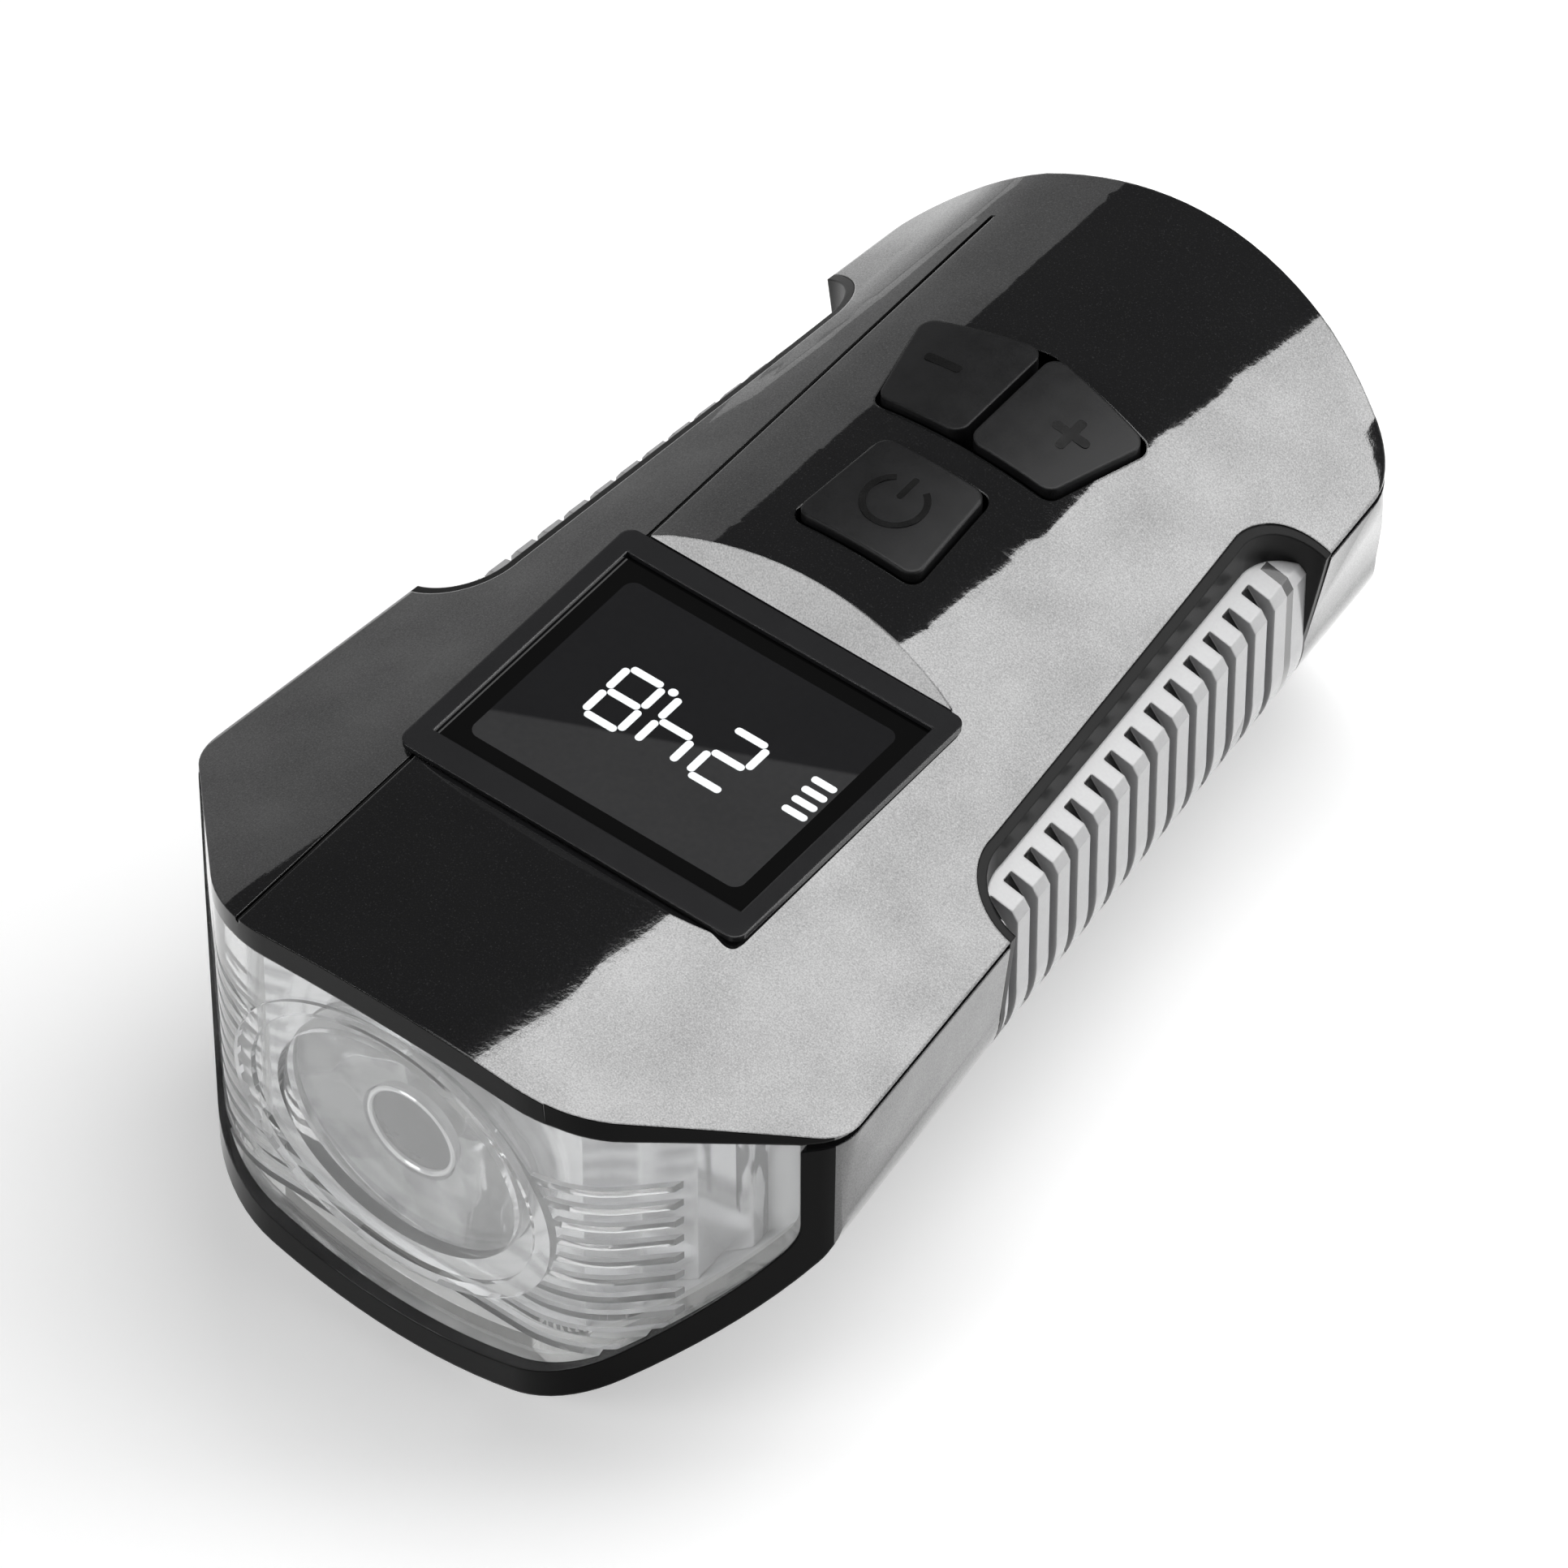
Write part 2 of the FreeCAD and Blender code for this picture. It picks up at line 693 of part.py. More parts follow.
def topLoft(body, name, lift="0"):
    sketches = []
    high = {"Rear": "fit.creaseHighRear"}
    places = (("-fit.frontStation", "Front"), ("-size.displayFront", "Brow"), ("0", "Mid"),
              ("fit.rearStation", "Rear"))
    for y, end in places:
        sketch = sketchOn(body, "%s_%s" % (name, end), "XZ_Plane", "-(%s)" % y)
        crease = "size.creaseHalf" + end
        level = "(%s + (%s))" % (high.get(end, "fit.creaseHigh"), lift)
        rise = "size.crownRise" + end
        crown = "((%s ^ 2 + %s ^ 2) / (2 * %s))" % (crease, rise, rise)
        drop = "(%s - fit.seamTop)" % level
        slope = "atan2(%s; %s - %s)" % (drop, halfAt(y), crease)
        lean = "asin(%s / %s)" % (crease, crown)
        soft = "size.creaseSoft"
        upperX = "(%s - %s * cos(%s))" % (crease, soft, lean)
        side = [(halfAt(y), "fit.seamTop"),
                ("%s + %s * cos(%s)" % (crease, soft, slope), "%s - %s * sin(%s)" % (level, soft, slope)),
                (upperX, "%s + %s - %s + sqrt(%s ^ 2 - %s ^ 2)" % (level, rise, crown, crown, upperX))]
        round = "%s / tan((%s - %s) / 2)" % (soft, slope, lean)
        outline(sketch, side + mirrored(side), {1: round, 2: crown, 3: round})
        sketches.append(sketch)
    return loft(body, sketches)


def bellySection(sketch, half, top, low, floor, flank, draft="0", above=None):
    # sides that run smoothly into round flanks and a wide round belly
    across = "((%s) - (%s) - (%s))" % (half, draft, flank)
    height = "((%s) - (%s))" % (low, floor)
    radius = "((%s ^ 2 + %s ^ 2 - (%s) ^ 2) / (2 * (%s - (%s))))" % (across, height, flank, height, flank)
    share = "(%s / (%s - (%s)))" % (radius, radius, flank)
    kneeX = "(%s * %s)" % (across, share)
    kneeZ = "((%s) + %s - (%s - %s) * %s)" % (floor, radius, radius, height, share)
    sideLow = "((%s) - (%s))" % (half, draft)
    corners = [(sideLow, low), (half, top)]
    radii = {}
    if above:
        rise = "size.bayRise"
        radii[2] = "((%s) ^ 2 + %s ^ 2) / (2 * %s)" % (above[0], rise, rise)
        corners += [above, ("-(%s)" % above[0], above[1])]
    corners += [("-(%s)" % half, top), ("-" + sideLow, low), ("-" + kneeX, kneeZ), (kneeX, kneeZ)]
    count = len(corners)
    radii.update({count - 3: flank, count - 2: radius, count - 1: flank})
    outline(sketch, corners, radii)


def bottomLoft(body, name, top="fit.seamTop - size.gasketThick"):
    sketches = []
    places = (("-fit.frontStation", "Front", "size.bellyFront"), ("0", "Mid", "fit.bellyMid"),
              ("fit.rearStation", "Rear", "fit.bellyRear"))
    for y, end, belly in places:
        sketch = sketchOn(body, "%s_%s" % (name, end), "XZ_Plane", "-(%s)" % y)
        bellySection(sketch, halfAt(y), top, "fit.sideLow" + end, belly, "size.flank" + end,
                     "size.draft" + end)
        sketches.append(sketch)
    return loft(body, sketches)


def bayLoft(body, name, inset="0", back="-fit.bayBack", kind="AdditiveLoft"):
    # the room behind the lens, made smaller by inset for whatever stands in it
    sketches = []
    share = "((fit.frontStation + (%s)) / (fit.frontStation - fit.bayBack))" % back
    floorBack = "(fit.bayFloorFront + (fit.bayFloorBack - fit.bayFloorFront) * %s)" % share
    for y, floor in (("-fit.frontStation", "fit.bayFloorFront"), (back, floorBack)):
        sketch = sketchOn(body, "%s_%d" % (name, len(sketches)), "XZ_Plane", "-(%s)" % y)
        crease = "(size.creaseHalfFront - size.bayCreaseInset - (%s))" % inset
        high = "fit.creaseHigh - size.bayCreaseDrop - (%s)" % inset
        half = "(%s - size.bayRim - (%s))" % (halfAt(y), inset)
        bellySection(sketch, half, "fit.seamTop", "fit.sideLowBay", "(%s + (%s))" % (floor, inset),
                     "(size.bayFlank - (%s))" % inset, above=(crease, high))
        sketches.append(sketch)
    return loft(body, sketches, kind)


# Shells


def displaySeat(body):
    # a level seat for the display with a short slope up to the shell before and behind it
    front = ("-size.displayFront", "fit.displayPlane")
    rear = ("-size.displayRear", "fit.displayPlane")
    rearTop = ("-size.displayRear + 2 * size.rearSlopeRun", "fit.displayPlane + 2 * size.rearSlopeRise")
    frontTop = ("-size.displayFront - 2 * size.frontSlopeRun", "fit.displayPlane + 2 * size.frontSlopeRise")
    sketch = sketchOn(body, "displaySeat", "YZ_Plane")
    outline(sketch, [front, rear, rearTop, frontTop])
    pocket(body, sketch, "4 * fit.frontStation", midplane=True)


def panelLines(body):
    for side in ("", "-"):
        sketch = sketchOn(body, "panelLine", "YZ_Plane", side + "size.lineHalf")
        high = "fit.crownRear + size.keyProud"
        outline(sketch, [("-fit.frontStation", "fit.lineFront"), ("size.lineRear", "fit.lineBack"),
                         ("size.lineRear", high), ("-fit.frontStation", high)])
        pocket(body, sketch, "size.lineWidth", midplane=True)


def sinkRectangle(body, name, half, front, rear, low, high):
    sketch = sketchOn(body, name, "XY_Plane", low)
    rectangle(sketch, "-(%s)" % half, half, "-(%s)" % front, rear)
    return pocket(body, sketch, "(%s) - (%s)" % (high, low), backwards=True)


def sinkChannel(body, low, high):
    # wide around the battery and the boards, narrow at the rear between the case screws
    sinkRectangle(body, "channel", "size.channelHalf", "fit.channelFront", "fit.neckFront", low, high)
    sinkRectangle(body, "hornRoom", "fit.neckHalf", "fit.channelFront", "fit.channelRear", low, high)


def powerCorners(grow="0"):
    front = "(size.powerFront - (%s))" % grow
    rear = "(size.powerRear + (%s))" % grow
    left = [("-(size.powerHalfFront + (%s))" % grow, front), ("-(size.powerHalfRear + (%s))" % grow, rear)]
    right = [("size.powerHalfFront + (%s)" % grow, front), ("size.powerHalfRear + (%s)" % grow, rear)]
    return right + left[::-1]


def modeCorners(grow="0"):
    front = "(size.modeFront - (%s))" % grow
    outer = "(size.modeRearOuter + (%s))" % grow
    inner = "(size.modeRearInner + (%s))" % grow
    right = [("size.modeHalfFront + (%s)" % grow, front), ("size.modeHalfRear + (%s)" % grow, outer)]
    return [("size.modeSplit", front)] + right + [("size.modeSplit", inner)]


def keyOpenings(body):
    power = powerCorners("size.keyGap")
    right = modeCorners("size.keyGap")[1:3]
    inner = modeCorners("size.keyGap")[3][1]
    mode = right + [("size.modeSplit", inner), ("-size.modeSplit", inner)] + mirrored(right)
    openings = (("powerOpening", power, power), ("modeOpening", mode, right + mirrored(right)))
    for name, corners, rounded in openings:
        sketch = sketchOn(body, name, "XY_Plane", "fit.keyBottom")
        outline(sketch, corners)
        opening = pocket(body, sketch, "fit.rearStation", backwards=True)
        roundUprights(body, opening, rounded, "size.keyCorner")


def screwPlaces(frontX, frontY, rearX, rearY):
    places = []
    for side in ("-", ""):
        places.append((side + frontX, "-" + frontY))
        places.append((side + rearX, rearY))
    return places


def caseScrewPlaces():
    return screwPlaces("fit.caseScrewFrontX", "fit.caseScrewFrontY",
                       "fit.caseScrewRearX", "fit.caseScrewRearY")


def boardScrewPlaces():
    return screwPlaces("fit.boardPostX", "fit.boardPostFront", "fit.boardPostX", "fit.boardPostRear")


def bores(body, name, places, radius, low, high):
    sketch = sketchOn(body, name, "XY_Plane", low)
    for x, y in places:
        circle(sketch, x, y, radius)
    return pocket(body, sketch, "(%s) - (%s)" % (high, low), backwards=True)


def topShell():
    body = newBody("top_shell")
    topLoft(body, "section")
    trimToPlan(body, "plan", "size.topLip")
    displaySeat(body)
    panelLines(body)
    bayLoft(body, "bay", kind="SubtractiveLoft")
    sinkChannel(body, "fit.seamTop", "fit.channelRoofFront")
    sinkRectangle(body, "keyRoom", "fit.channelRoofHalf", "-size.channelRoofStart", "fit.neckFront",
                  "fit.seamTop", "fit.channelRoofRear")
    edge = "size.skirtInset + size.fitGap"
    sinkRectangle(body, "displayOpening", "size.displayHalf - size.skirtInset + size.fitGap",
                  "size.displayFront - %s" % edge, "-size.displayRear - %s" % edge,
                  "fit.seamTop", "fit.displayPlane + size.bezelRise")
    keyOpenings(body)
    bores(body, "screwBores", caseScrewPlaces(), "size.caseScrewRadius", "fit.seamTop", "fit.caseScrewTop")
    return keep(body, "top_shell")


def rearOpenings(body):
    # the horn's slots, the charging port and the recess its cover closes
    pitch = "size.slotPitch"
    sketch = sketchOn(body, "hornSlot", "XZ_Plane", "-fit.channelRear")
    low = "fit.speakerHeight - (size.slotCount - 1) / 2 * size.slotPitch - size.slotHeight / 2"
    rectangle(sketch, "-size.slotHalf", "size.slotHalf", low, low + " + size.slotHeight")
    slot = pocket(body, sketch, "fit.rearStation")
    repeat(body, [slot], "Z_Axis", pitch, "size.slotCount")
    sketch = sketchOn(body, "port", "XZ_Plane", "-fit.channelRear")
    half = "size.portHalf"
    tall = "size.portTall / 2"
    rectangle(sketch, "-" + half, half, "fit.portHeight - " + tall, "fit.portHeight + " + tall)
    pocket(body, sketch, "fit.rearStation")
    sketch = sketchOn(body, "coverRecess", "XZ_Plane", "-fit.portFace")
    half = "(size.coverHalf + size.coverGap)"
    tall = "(size.coverTall / 2 + size.coverGap)"
    rectangle(sketch, "-" + half, half, "fit.portHeight - " + tall, "fit.portHeight + " + tall)
    pocket(body, sketch, "fit.rearStation")


def bottomShell():
    body = newBody("bottom_shell")
    bottomLoft(body, "section")
    trimToPlan(body, "plan", "size.frontLip")
    bayLoft(body, "bay", kind="SubtractiveLoft")
    rise = "(fit.channelSideLow - fit.channelFloor)"
    round = "((size.channelHalf ^ 2 + %s ^ 2) / (2 * %s))" % (rise, rise)
    for half, rear in (("size.channelHalf", "fit.neckFront"), ("fit.neckHalf", "fit.channelRear")):
        low = "fit.channelFloor + %s - sqrt(%s ^ 2 - %s ^ 2)" % (round, round, half)
        sketch = sketchOn(body, "channel", "XZ_Plane", "fit.channelFront")
        outline(sketch, [(half, low), (half, "fit.seamTop"), ("-" + half, "fit.seamTop"), ("-" + half, low)],
                {3: round})
        pocket(body, sketch, "fit.channelFront + " + rear)
    sketch = sketchOn(body, "chargeShelf", "XY_Plane", "fit.channelFloor")
    rectangle(sketch, "-size.chargeHalf", "size.chargeHalf", "fit.chargeFront", "fit.channelRear")
    pad(body, sketch, "fit.chargeLow - fit.channelFloor")
    sketch = sketchOn(body, "boardPosts", "XY_Plane", "fit.boardPostLow")
    for x, y in boardScrewPlaces():
        circle(sketch, x, y, "size.boardPostRadius")
    pad(body, sketch, "fit.boardLow - fit.boardPostLow")
    bores(body, "boardBores", boardScrewPlaces(), "size.boardScrewRadius",
          "fit.boardLow + size.boardThick - size.boardScrewLength", "fit.seamTop")
    sketch = sketchOn(body, "railPad", "XY_Plane", "size.railHeight")
    rectangle(sketch, "-size.padHalf", "size.padHalf", "-size.railFront", "size.railRear")
    pad(body, sketch, "fit.padHigh - size.railHeight")
    sinkRectangle(body, "railSeat", "size.padHalf + size.fitGap", "size.railFront + size.fitGap",
                  "size.railRear + size.fitGap", "0", "size.railHeight")
    bores(body, "railBores", railScrewPlaces(), "size.railScrewRadius", "0", "fit.railScrewTop")
    rearOpenings(body)
    clear = "size.caseScrewRadius + size.caseScrewGap"
    bores(body, "screwBores", caseScrewPlaces(), clear, "0", "fit.seamTop")
    for places, seat in ((caseScrewPlaces()[0::2], "fit.caseScrewSeatFront"),
                         (caseScrewPlaces()[1::2], "fit.caseScrewSeatRear")):
        bores(body, "screwHeads", places, "size.caseScrewHead + size.caseScrewGap", "0", seat)
    return keep(body, "bottom_shell")


def shellSeal():
    body = newBody("shell_seal")
    low = "fit.seamTop - size.gasketThick"
    sketch = sketchOn(body, "plan", "XY_Plane", low)
    planOutline(sketch, "size.topLip", "size.gasketInset")
    pad(body, sketch, "size.gasketThick")
    bayLoft(body, "bay", kind="SubtractiveLoft")
    sinkChannel(body, low, "fit.seamTop")
    clear = "size.caseScrewRadius + size.caseScrewGap"
    bores(body, "screwBores", caseScrewPlaces(), clear, low, "fit.seamTop")
    return keep(body, "shell_seal")


# Lamp


def ovalBar(name, half, tall, front, length):
    # an oval bar around the beam's axis, from its front face backwards
    oval = doc.addObject("Part::Ellipse", name + "_oval")
    oval.setExpression("MajorRadius", half)
    oval.setExpression("MinorRadius", tall)
    place(oval, ("0", "-(%s)" % front, "fit.beamHeight"), across)
    item = doc.addObject("Part::Extrusion", name)
    item.Base = oval
    item.DirMode = "Custom"
    item.Dir = FreeCAD.Vector(0, 1, 0)
    item.Solid = True
    item.setExpression("LengthFwd", length)
    return item


def frontLens():
    lip = "fit.lensFront"
    body = newBody("lens")
    bayLoft(body, "bay", "size.lensGap")
    trimToPlan(body, "front", lip, notched=False)
    sketch = sketchOn(body, "back", "XY_Plane")
    planOutline(sketch, lip, "size.lensThick", notched=False)
    pocket(body, sketch, "4 * fit.frontStation", midplane=True)
    flutes = newBody("flutes")
    sketch = sketchOn(flutes, "flute", "XY_Plane", "size.fluteLowest")
    rectangle(sketch, "-size.fluteEnd", "size.fluteEnd", "-fit.frontStation", "0")
    first = pad(flutes, sketch, "size.fluteTall")
    repeat(flutes, [first], "Z_Axis", "size.flutePitch", "size.fluteCount")
    sketch = sketchOn(flutes, "depth", "XY_Plane")
    planOutline(sketch, lip, "size.fluteDeep", notched=False)
    pocket(flutes, sketch, "4 * fit.frontStation", midplane=True)
    fluted = cut("fluted", body, flutes)
    ring = ovalBar("ring", "size.ringHalf", "size.ringTall", "fit.ringFace", "fit.ringFace - fit.lensBack")
    seat = ovalBar("seat", "size.seatHalf", "size.seatTall", "fit.ringFace", "size.seatDepth")
    mouth = ovalBar("mouth", "size.mouthHalf", "size.mouthTall", "fit.ringFace", "size.mouthDepth")
    opening = union("lens_mouth", [seat, mouth])
    return keep(cut("lens_all", union("lens_ring", [fluted, ring]), opening), "front_lens")


def lensSeal():
    body = newBody("seal")
    bayLoft(body, "bay", "size.lensGap")
    lip = "fit.lensFront"
    trimToPlan(body, "front", lip, "size.lensThick", notched=False)
    sketch = sketchOn(body, "back", "XY_Plane")
    planOutline(sketch, lip, "size.lensThick + size.sealThick", notched=False)
    pocket(body, sketch, "4 * fit.frontStation", midplane=True)
    bayLoft(body, "inner", "size.lensGap + size.sealWidth", kind="SubtractiveLoft")
    return keep(body, "lens_seal")


def lensTray():
    body = newBody("tray")
    bayLoft(body, "bay", "size.trayGap", "-fit.trayBackFace")
    trimToPlan(body, "front", "fit.lensFront", "size.lensThick + size.sealThick", notched=False)
    bayLoft(body, "inner", "size.trayGap + size.trayWall", "-(fit.trayBackFace + size.trayBackThick)",
            "SubtractiveLoft")
    hole = cylinder("tray_hole", "size.trayHole", "2 * size.trayBackThick",
                    ("0", "-fit.trayBackFace - 1.5 * size.trayBackThick", "fit.beamHeight"), across)
    return keep(cut("tray_all", body, hole), "lens_tray")


def reflectorCorners():
    # in plan: a flat middle and a row of upright facets along each swept side
    half = "size.opticRadius + size.cupWall"
    front = "(-size.frontLip + size.facetBack)"
    slope = "((size.frontLip - size.wingBack) / (%s - size.sweepHalf))" % halfAt("-size.wingBack")
    side = [(half, front)]
    for i in range(int(number("size.facetCount"))):
        x = "(%s + %d * size.facetPitch)" % (half, i)
        y = "(%s + %d * size.facetPitch * %s)" % (front, i, slope)
        side.append(("%s + size.facetPitch" % x, y))
        side.append(("%s + size.facetPitch" % x, "%s + size.facetPitch * %s" % (y, slope)))
    side.pop()
    back = [("-(%s)" % x, y) for x, y in reversed(side)]
    return side, back


def reflector():
    body = newBody("reflector")
    side, back = reflectorCorners()
    sketch = sketchOn(body, "facets", "XY_Plane")
    behind = "-fit.trayBackFace - size.trayBackThick"
    outline(sketch, side + [(side[-1][0], behind), (back[0][0], behind)] + back)
    pad(body, sketch, "fit.creaseHigh")
    inner = newBody("reflector_bay")
    bayLoft(inner, "bay", "size.reflectorInset", "-(fit.trayBackFace + size.trayBackThick)")
    bore = cylinder("optic_bore", "size.opticRadius + size.fitGap", "size.frontLip",
                    ("0", "-size.frontLip", "fit.beamHeight"), across)
    return keep(cut("reflector_all", common("reflector_in", body, inner), bore), "reflector")


def collimator():
    body = newBody("optic")
    sketch = sketchOn(body, "profile", "XY_Plane")
    front = "-fit.opticFront"
    back = "-fit.opticFront + fit.opticDepth"
    hub = "-fit.opticFront + size.hubDepth"
    pocketEnd = "%s - size.opticPocketDepth" % back
    land = "(%s + size.opticLand)" % front
    waist = ("(size.opticRadius + size.opticBackRadius) / 2 + size.opticBulge",
             "(%s + %s) / 2" % (land, back))
    outline(sketch, [("0", hub), ("size.hubRadius - size.hubDraft", hub), ("size.hubRadius", front),
                     ("size.opticRadius", front), ("size.opticRadius", land), waist,
                     ("size.opticBackRadius", back), ("size.opticPocket", back),
                     ("size.opticPocket", pocketEnd), ("0", pocketEnd)])
    revolve(body, sketch)
    body.setExpression("Placement.Base.z", "fit.beamHeight")
    return keep(body, "collimator")


def lampBoard():
    centre = ("0", "-fit.boardFace", "fit.beamHeight")
    disc = cylinder("lamp_disc", "size.ledBoardRadius", "size.ledBoardThick", centre, across)
    return keep(disc, "led_board")


def lampChip():
    half = "size.ledSide / 2"
    chip = box("lamp_chip", ("-" + half, "-fit.boardFace - size.ledTall", "fit.beamHeight - " + half),
               (half, "-fit.boardFace", "fit.beamHeight + " + half))
    return keep(chip, "led_chip")


def heatSink():
    body = newBody("sink")
    sketch = sketchOn(body, "boss", "XZ_Plane", "fit.trayBackFace + size.trayBackThick")
    circle(sketch, "0", "0", "size.trayHole - size.fitGap")
    pad(body, sketch, "size.trayBackThick", backwards=True)
    sketch = sketchOn(body, "base", "XZ_Plane", "fit.trayBackFace")
    circle(sketch, "0", "0", "size.sinkRadius")
    pad(body, sketch, "size.sinkBase", backwards=True)
    sketch = sketchOn(body, "fin", "XZ_Plane", "fit.trayBackFace - size.sinkBase")
    left = "-(size.finCount - 1) / 2 * size.finPitch - size.finThick / 2"
    tall = "size.finHalf"
    rectangle(sketch, left, left + " + size.finThick", "-" + tall, tall)
    fin = pad(body, sketch, "size.finLength", backwards=True)
    repeat(body, [fin], "X_Axis", "size.finPitch", "size.finCount")
    body.setExpression("Placement.Base.z", "fit.beamHeight")
    return keep(body, "heat_sink")


# Display


def windowEdges(grow="0"):
    half = "size.displayHalf - size.bezelSide - (%s)" % grow
    front = "-size.displayFront + size.bezelFrontRim + (%s)" % grow
    rear = "-size.displayRear - size.bezelRearRim - (%s)" % grow
    return half, front, rear


def windowBox(name, grow, low, high):
    half, front, rear = windowEdges(grow)
    return box(name, ("-(%s)" % half, front, low), (half, rear, high))


def windowTop():
    return "fit.displayPlane + size.bezelRise - size.windowSink"


def displayBezel():
    body = newBody("bezel")
    sketch = sketchOn(body, "rim", "XY_Plane", "fit.displayPlane")
    rectangle(sketch, "-size.displayHalf", "size.displayHalf", "-size.displayFront", "-size.displayRear")
    corners = [("size.displayHalf", y) for y in ("-size.displayFront", "-size.displayRear")]
    roundUprights(body, pad(body, sketch, "size.bezelRise"), corners + mirrored(corners), "size.bezelCorner")
    sketch = sketchOn(body, "skirt", "XY_Plane", "fit.displayPlane")
    inset = "size.skirtInset"
    half = "size.displayHalf - " + inset
    rectangle(sketch, "-(%s)" % half, half, "-size.displayFront + " + inset, "-size.displayRear - " + inset)
    pad(body, sketch, "size.skirtDrop", backwards=True)
    for grow, low, high in (("0", windowTop() + " - size.windowThick", "fit.crownRear"),
                            ("size.windowLedge", "0", "fit.crownRear")):
        half, front, rear = windowEdges(grow)
        sketch = sketchOn(body, "glassWell", "XY_Plane", low)
        rectangle(sketch, "-(%s)" % half, half, front, rear)
        pocket(body, sketch, "(%s) - (%s)" % (high, low), backwards=True)
    return keep(body, "display_bezel")


def displayStack():
    glassLow = windowTop() + " - size.windowThick"
    keep(windowBox("glass", "size.fitGap", glassLow, windowTop()), "display_window")
    panelLow = glassLow + " - size.lcdThick"
    keep(windowBox("panel", "size.windowLedge + size.fitGap", panelLow, glassLow), "lcd_panel")
    boardTop = "fit.boardLow + size.boardThick"
    keep(windowBox("light_guide", "size.guideInset", boardTop, panelLow), "backlight")


# Keys


def keyStem(name, x, y):
    stem = cylinder(name + "_stem", "size.stemRadius", "fit.stemTop - fit.stemLow", (x, y, "fit.stemLow"))
    return keep(stem, name + "_plunger")


def keyCap(name, corners, flange, x, y):
    body = newBody(name)
    sketch = sketchOn(body, "cap", "XY_Plane", "fit.keyBottom")
    outline(sketch, corners)
    roundUprights(body, pad(body, sketch, "fit.crownRear"), corners, "size.keyCorner")
    crown = newBody(name + "_crown")
    topLoft(crown, "crown", "size.keyProud")
    cap = common(name + "_top", body, crown)
    skirt = newBody(name + "_skirt")
    sketch = sketchOn(skirt, "flange", "XY_Plane", "fit.keyBottom")
    outline(sketch, flange)
    pad(skirt, sketch, "fit.keyFlangeTop - fit.keyBottom")
    bore = cylinder(name + "_bore", "size.stemRadius", "fit.stemTop - fit.keyBottom", (x, y, "fit.keyBottom"))
    return cut(name + "_all", union(name + "_solid", [cap, skirt]), bore)


def keys():
    grown = "size.keyGap + size.keyFlange"
    keep(keyCap("power", powerCorners(), powerCorners(grown), "0", "fit.powerY"), "power_button")
    keyStem("power", "0", "fit.powerY")
    plus = keyCap("plus", modeCorners(), modeCorners(grown), "fit.modeX", "fit.modeY")
    keep(plus, "plus_button")
    keyStem("plus", "fit.modeX", "fit.modeY")
    keep(reflected("minus", plus), "minus_button")
    keyStem("minus", "-fit.modeX", "fit.modeY")


def reflected(name, source):
    item = doc.addObject("Part::Mirroring", name + "_mirror")
    item.Source = source
    item.Normal = FreeCAD.Vector(1, 0, 0)
    return item


def keyPlaces():
    return (("0", "fit.powerY"), ("-fit.modeX", "fit.modeY"), ("fit.modeX", "fit.modeY"))


def keypadSheet():
    body = newBody("sheet")
    sketch = sketchOn(body, "plan", "XY_Plane", "fit.sheetLow")
    rectangle(sketch, "-fit.sheetHalf", "fit.sheetHalf", "fit.sheetFront", "fit.sheetRear")
    for x, y in keyPlaces():
        circle(sketch, x, y, "size.sheetHole")
    pad(body, sketch, "size.sheetThick")
    return keep(body, "keypad_sheet")


def switchBodies():
    half = "size.switchSide / 2"
    low = "fit.boardLow + size.boardThick"
    parts = [box("switch", ("%s - %s" % (x, half), "%s - %s" % (y, half), low),
                 ("%s + %s" % (x, half), "%s + %s" % (y, half), "fit.switchTop")) for x, y in keyPlaces()]
    return keep(apart("switches", parts), "switch_bodies")


# Electronics


def mainBoard():
    body = newBody("board")
    sketch = sketchOn(body, "plan", "XY_Plane", "fit.boardLow")
    rectangle(sketch, "-fit.boardHalf", "fit.boardHalf", "-fit.boardFront", "fit.boardRear")
    pad(body, sketch, "size.boardThick")
    bores(body, "screwBores", boardScrewPlaces(), "size.boardScrewRadius + size.fitGap", "fit.boardLow",
          "fit.boardLow + size.boardThick")
    return keep(body, "main_board")


def boardParts():
    # chips and capacitors on the board's upper side
    low = "fit.boardLow + size.boardThick"
    parts = []
    for x, y, halfX, halfY, tall in chipPlaces:
        parts.append(box("chip", ("%s - %s" % (x, halfX), "%s - %s" % (y, halfY), low),
                         ("%s + %s" % (x, halfX), "%s + %s" % (y, halfY), "%s + %s" % (low, tall))))
    return keep(apart("chips", parts), "board_parts")


def cellHeight():
    return "(fit.channelFloor + size.cradleWall + size.cradleGap + size.cellRadius)"


def batteryParts():
    front = ("0", "-fit.cellFront", cellHeight())
    cell = cylinder("cell", "size.cellRadius", "size.cellLength", front, across)
    keep(cell, "battery_cell")
    body = newBody("cradle")
    sketch = sketchOn(body, "tube", "XZ_Plane", "fit.cellFront - size.cradleInset")
    inner = "size.cellRadius + size.cradleGap"
    circle(sketch, "0", cellHeight(), inner + " + size.cradleWall")
    circle(sketch, "0", cellHeight(), inner)
    pad(body, sketch, "size.cellLength - 2 * size.cradleInset", backwards=True)
    sketch = sketchOn(body, "upper", "XY_Plane", cellHeight())
    rectangle(sketch, "-size.channelHalf", "size.channelHalf", "-fit.frontStation", "fit.rearStation")
    pocket(body, sketch, "fit.rearStation", backwards=True)
    keep(body, "battery_cradle")
    half = "size.tabSide / 2"
    tabs = []
    for low in ("-fit.cellFront - size.tabThick", "size.cellLength - fit.cellFront"):
        tabs.append(box("tab", ("-" + half, low, cellHeight() + " - " + half),
                        (half, low + " + size.tabThick", cellHeight() + " + " + half)))
    keep(apart("tabs", tabs), "battery_tabs")


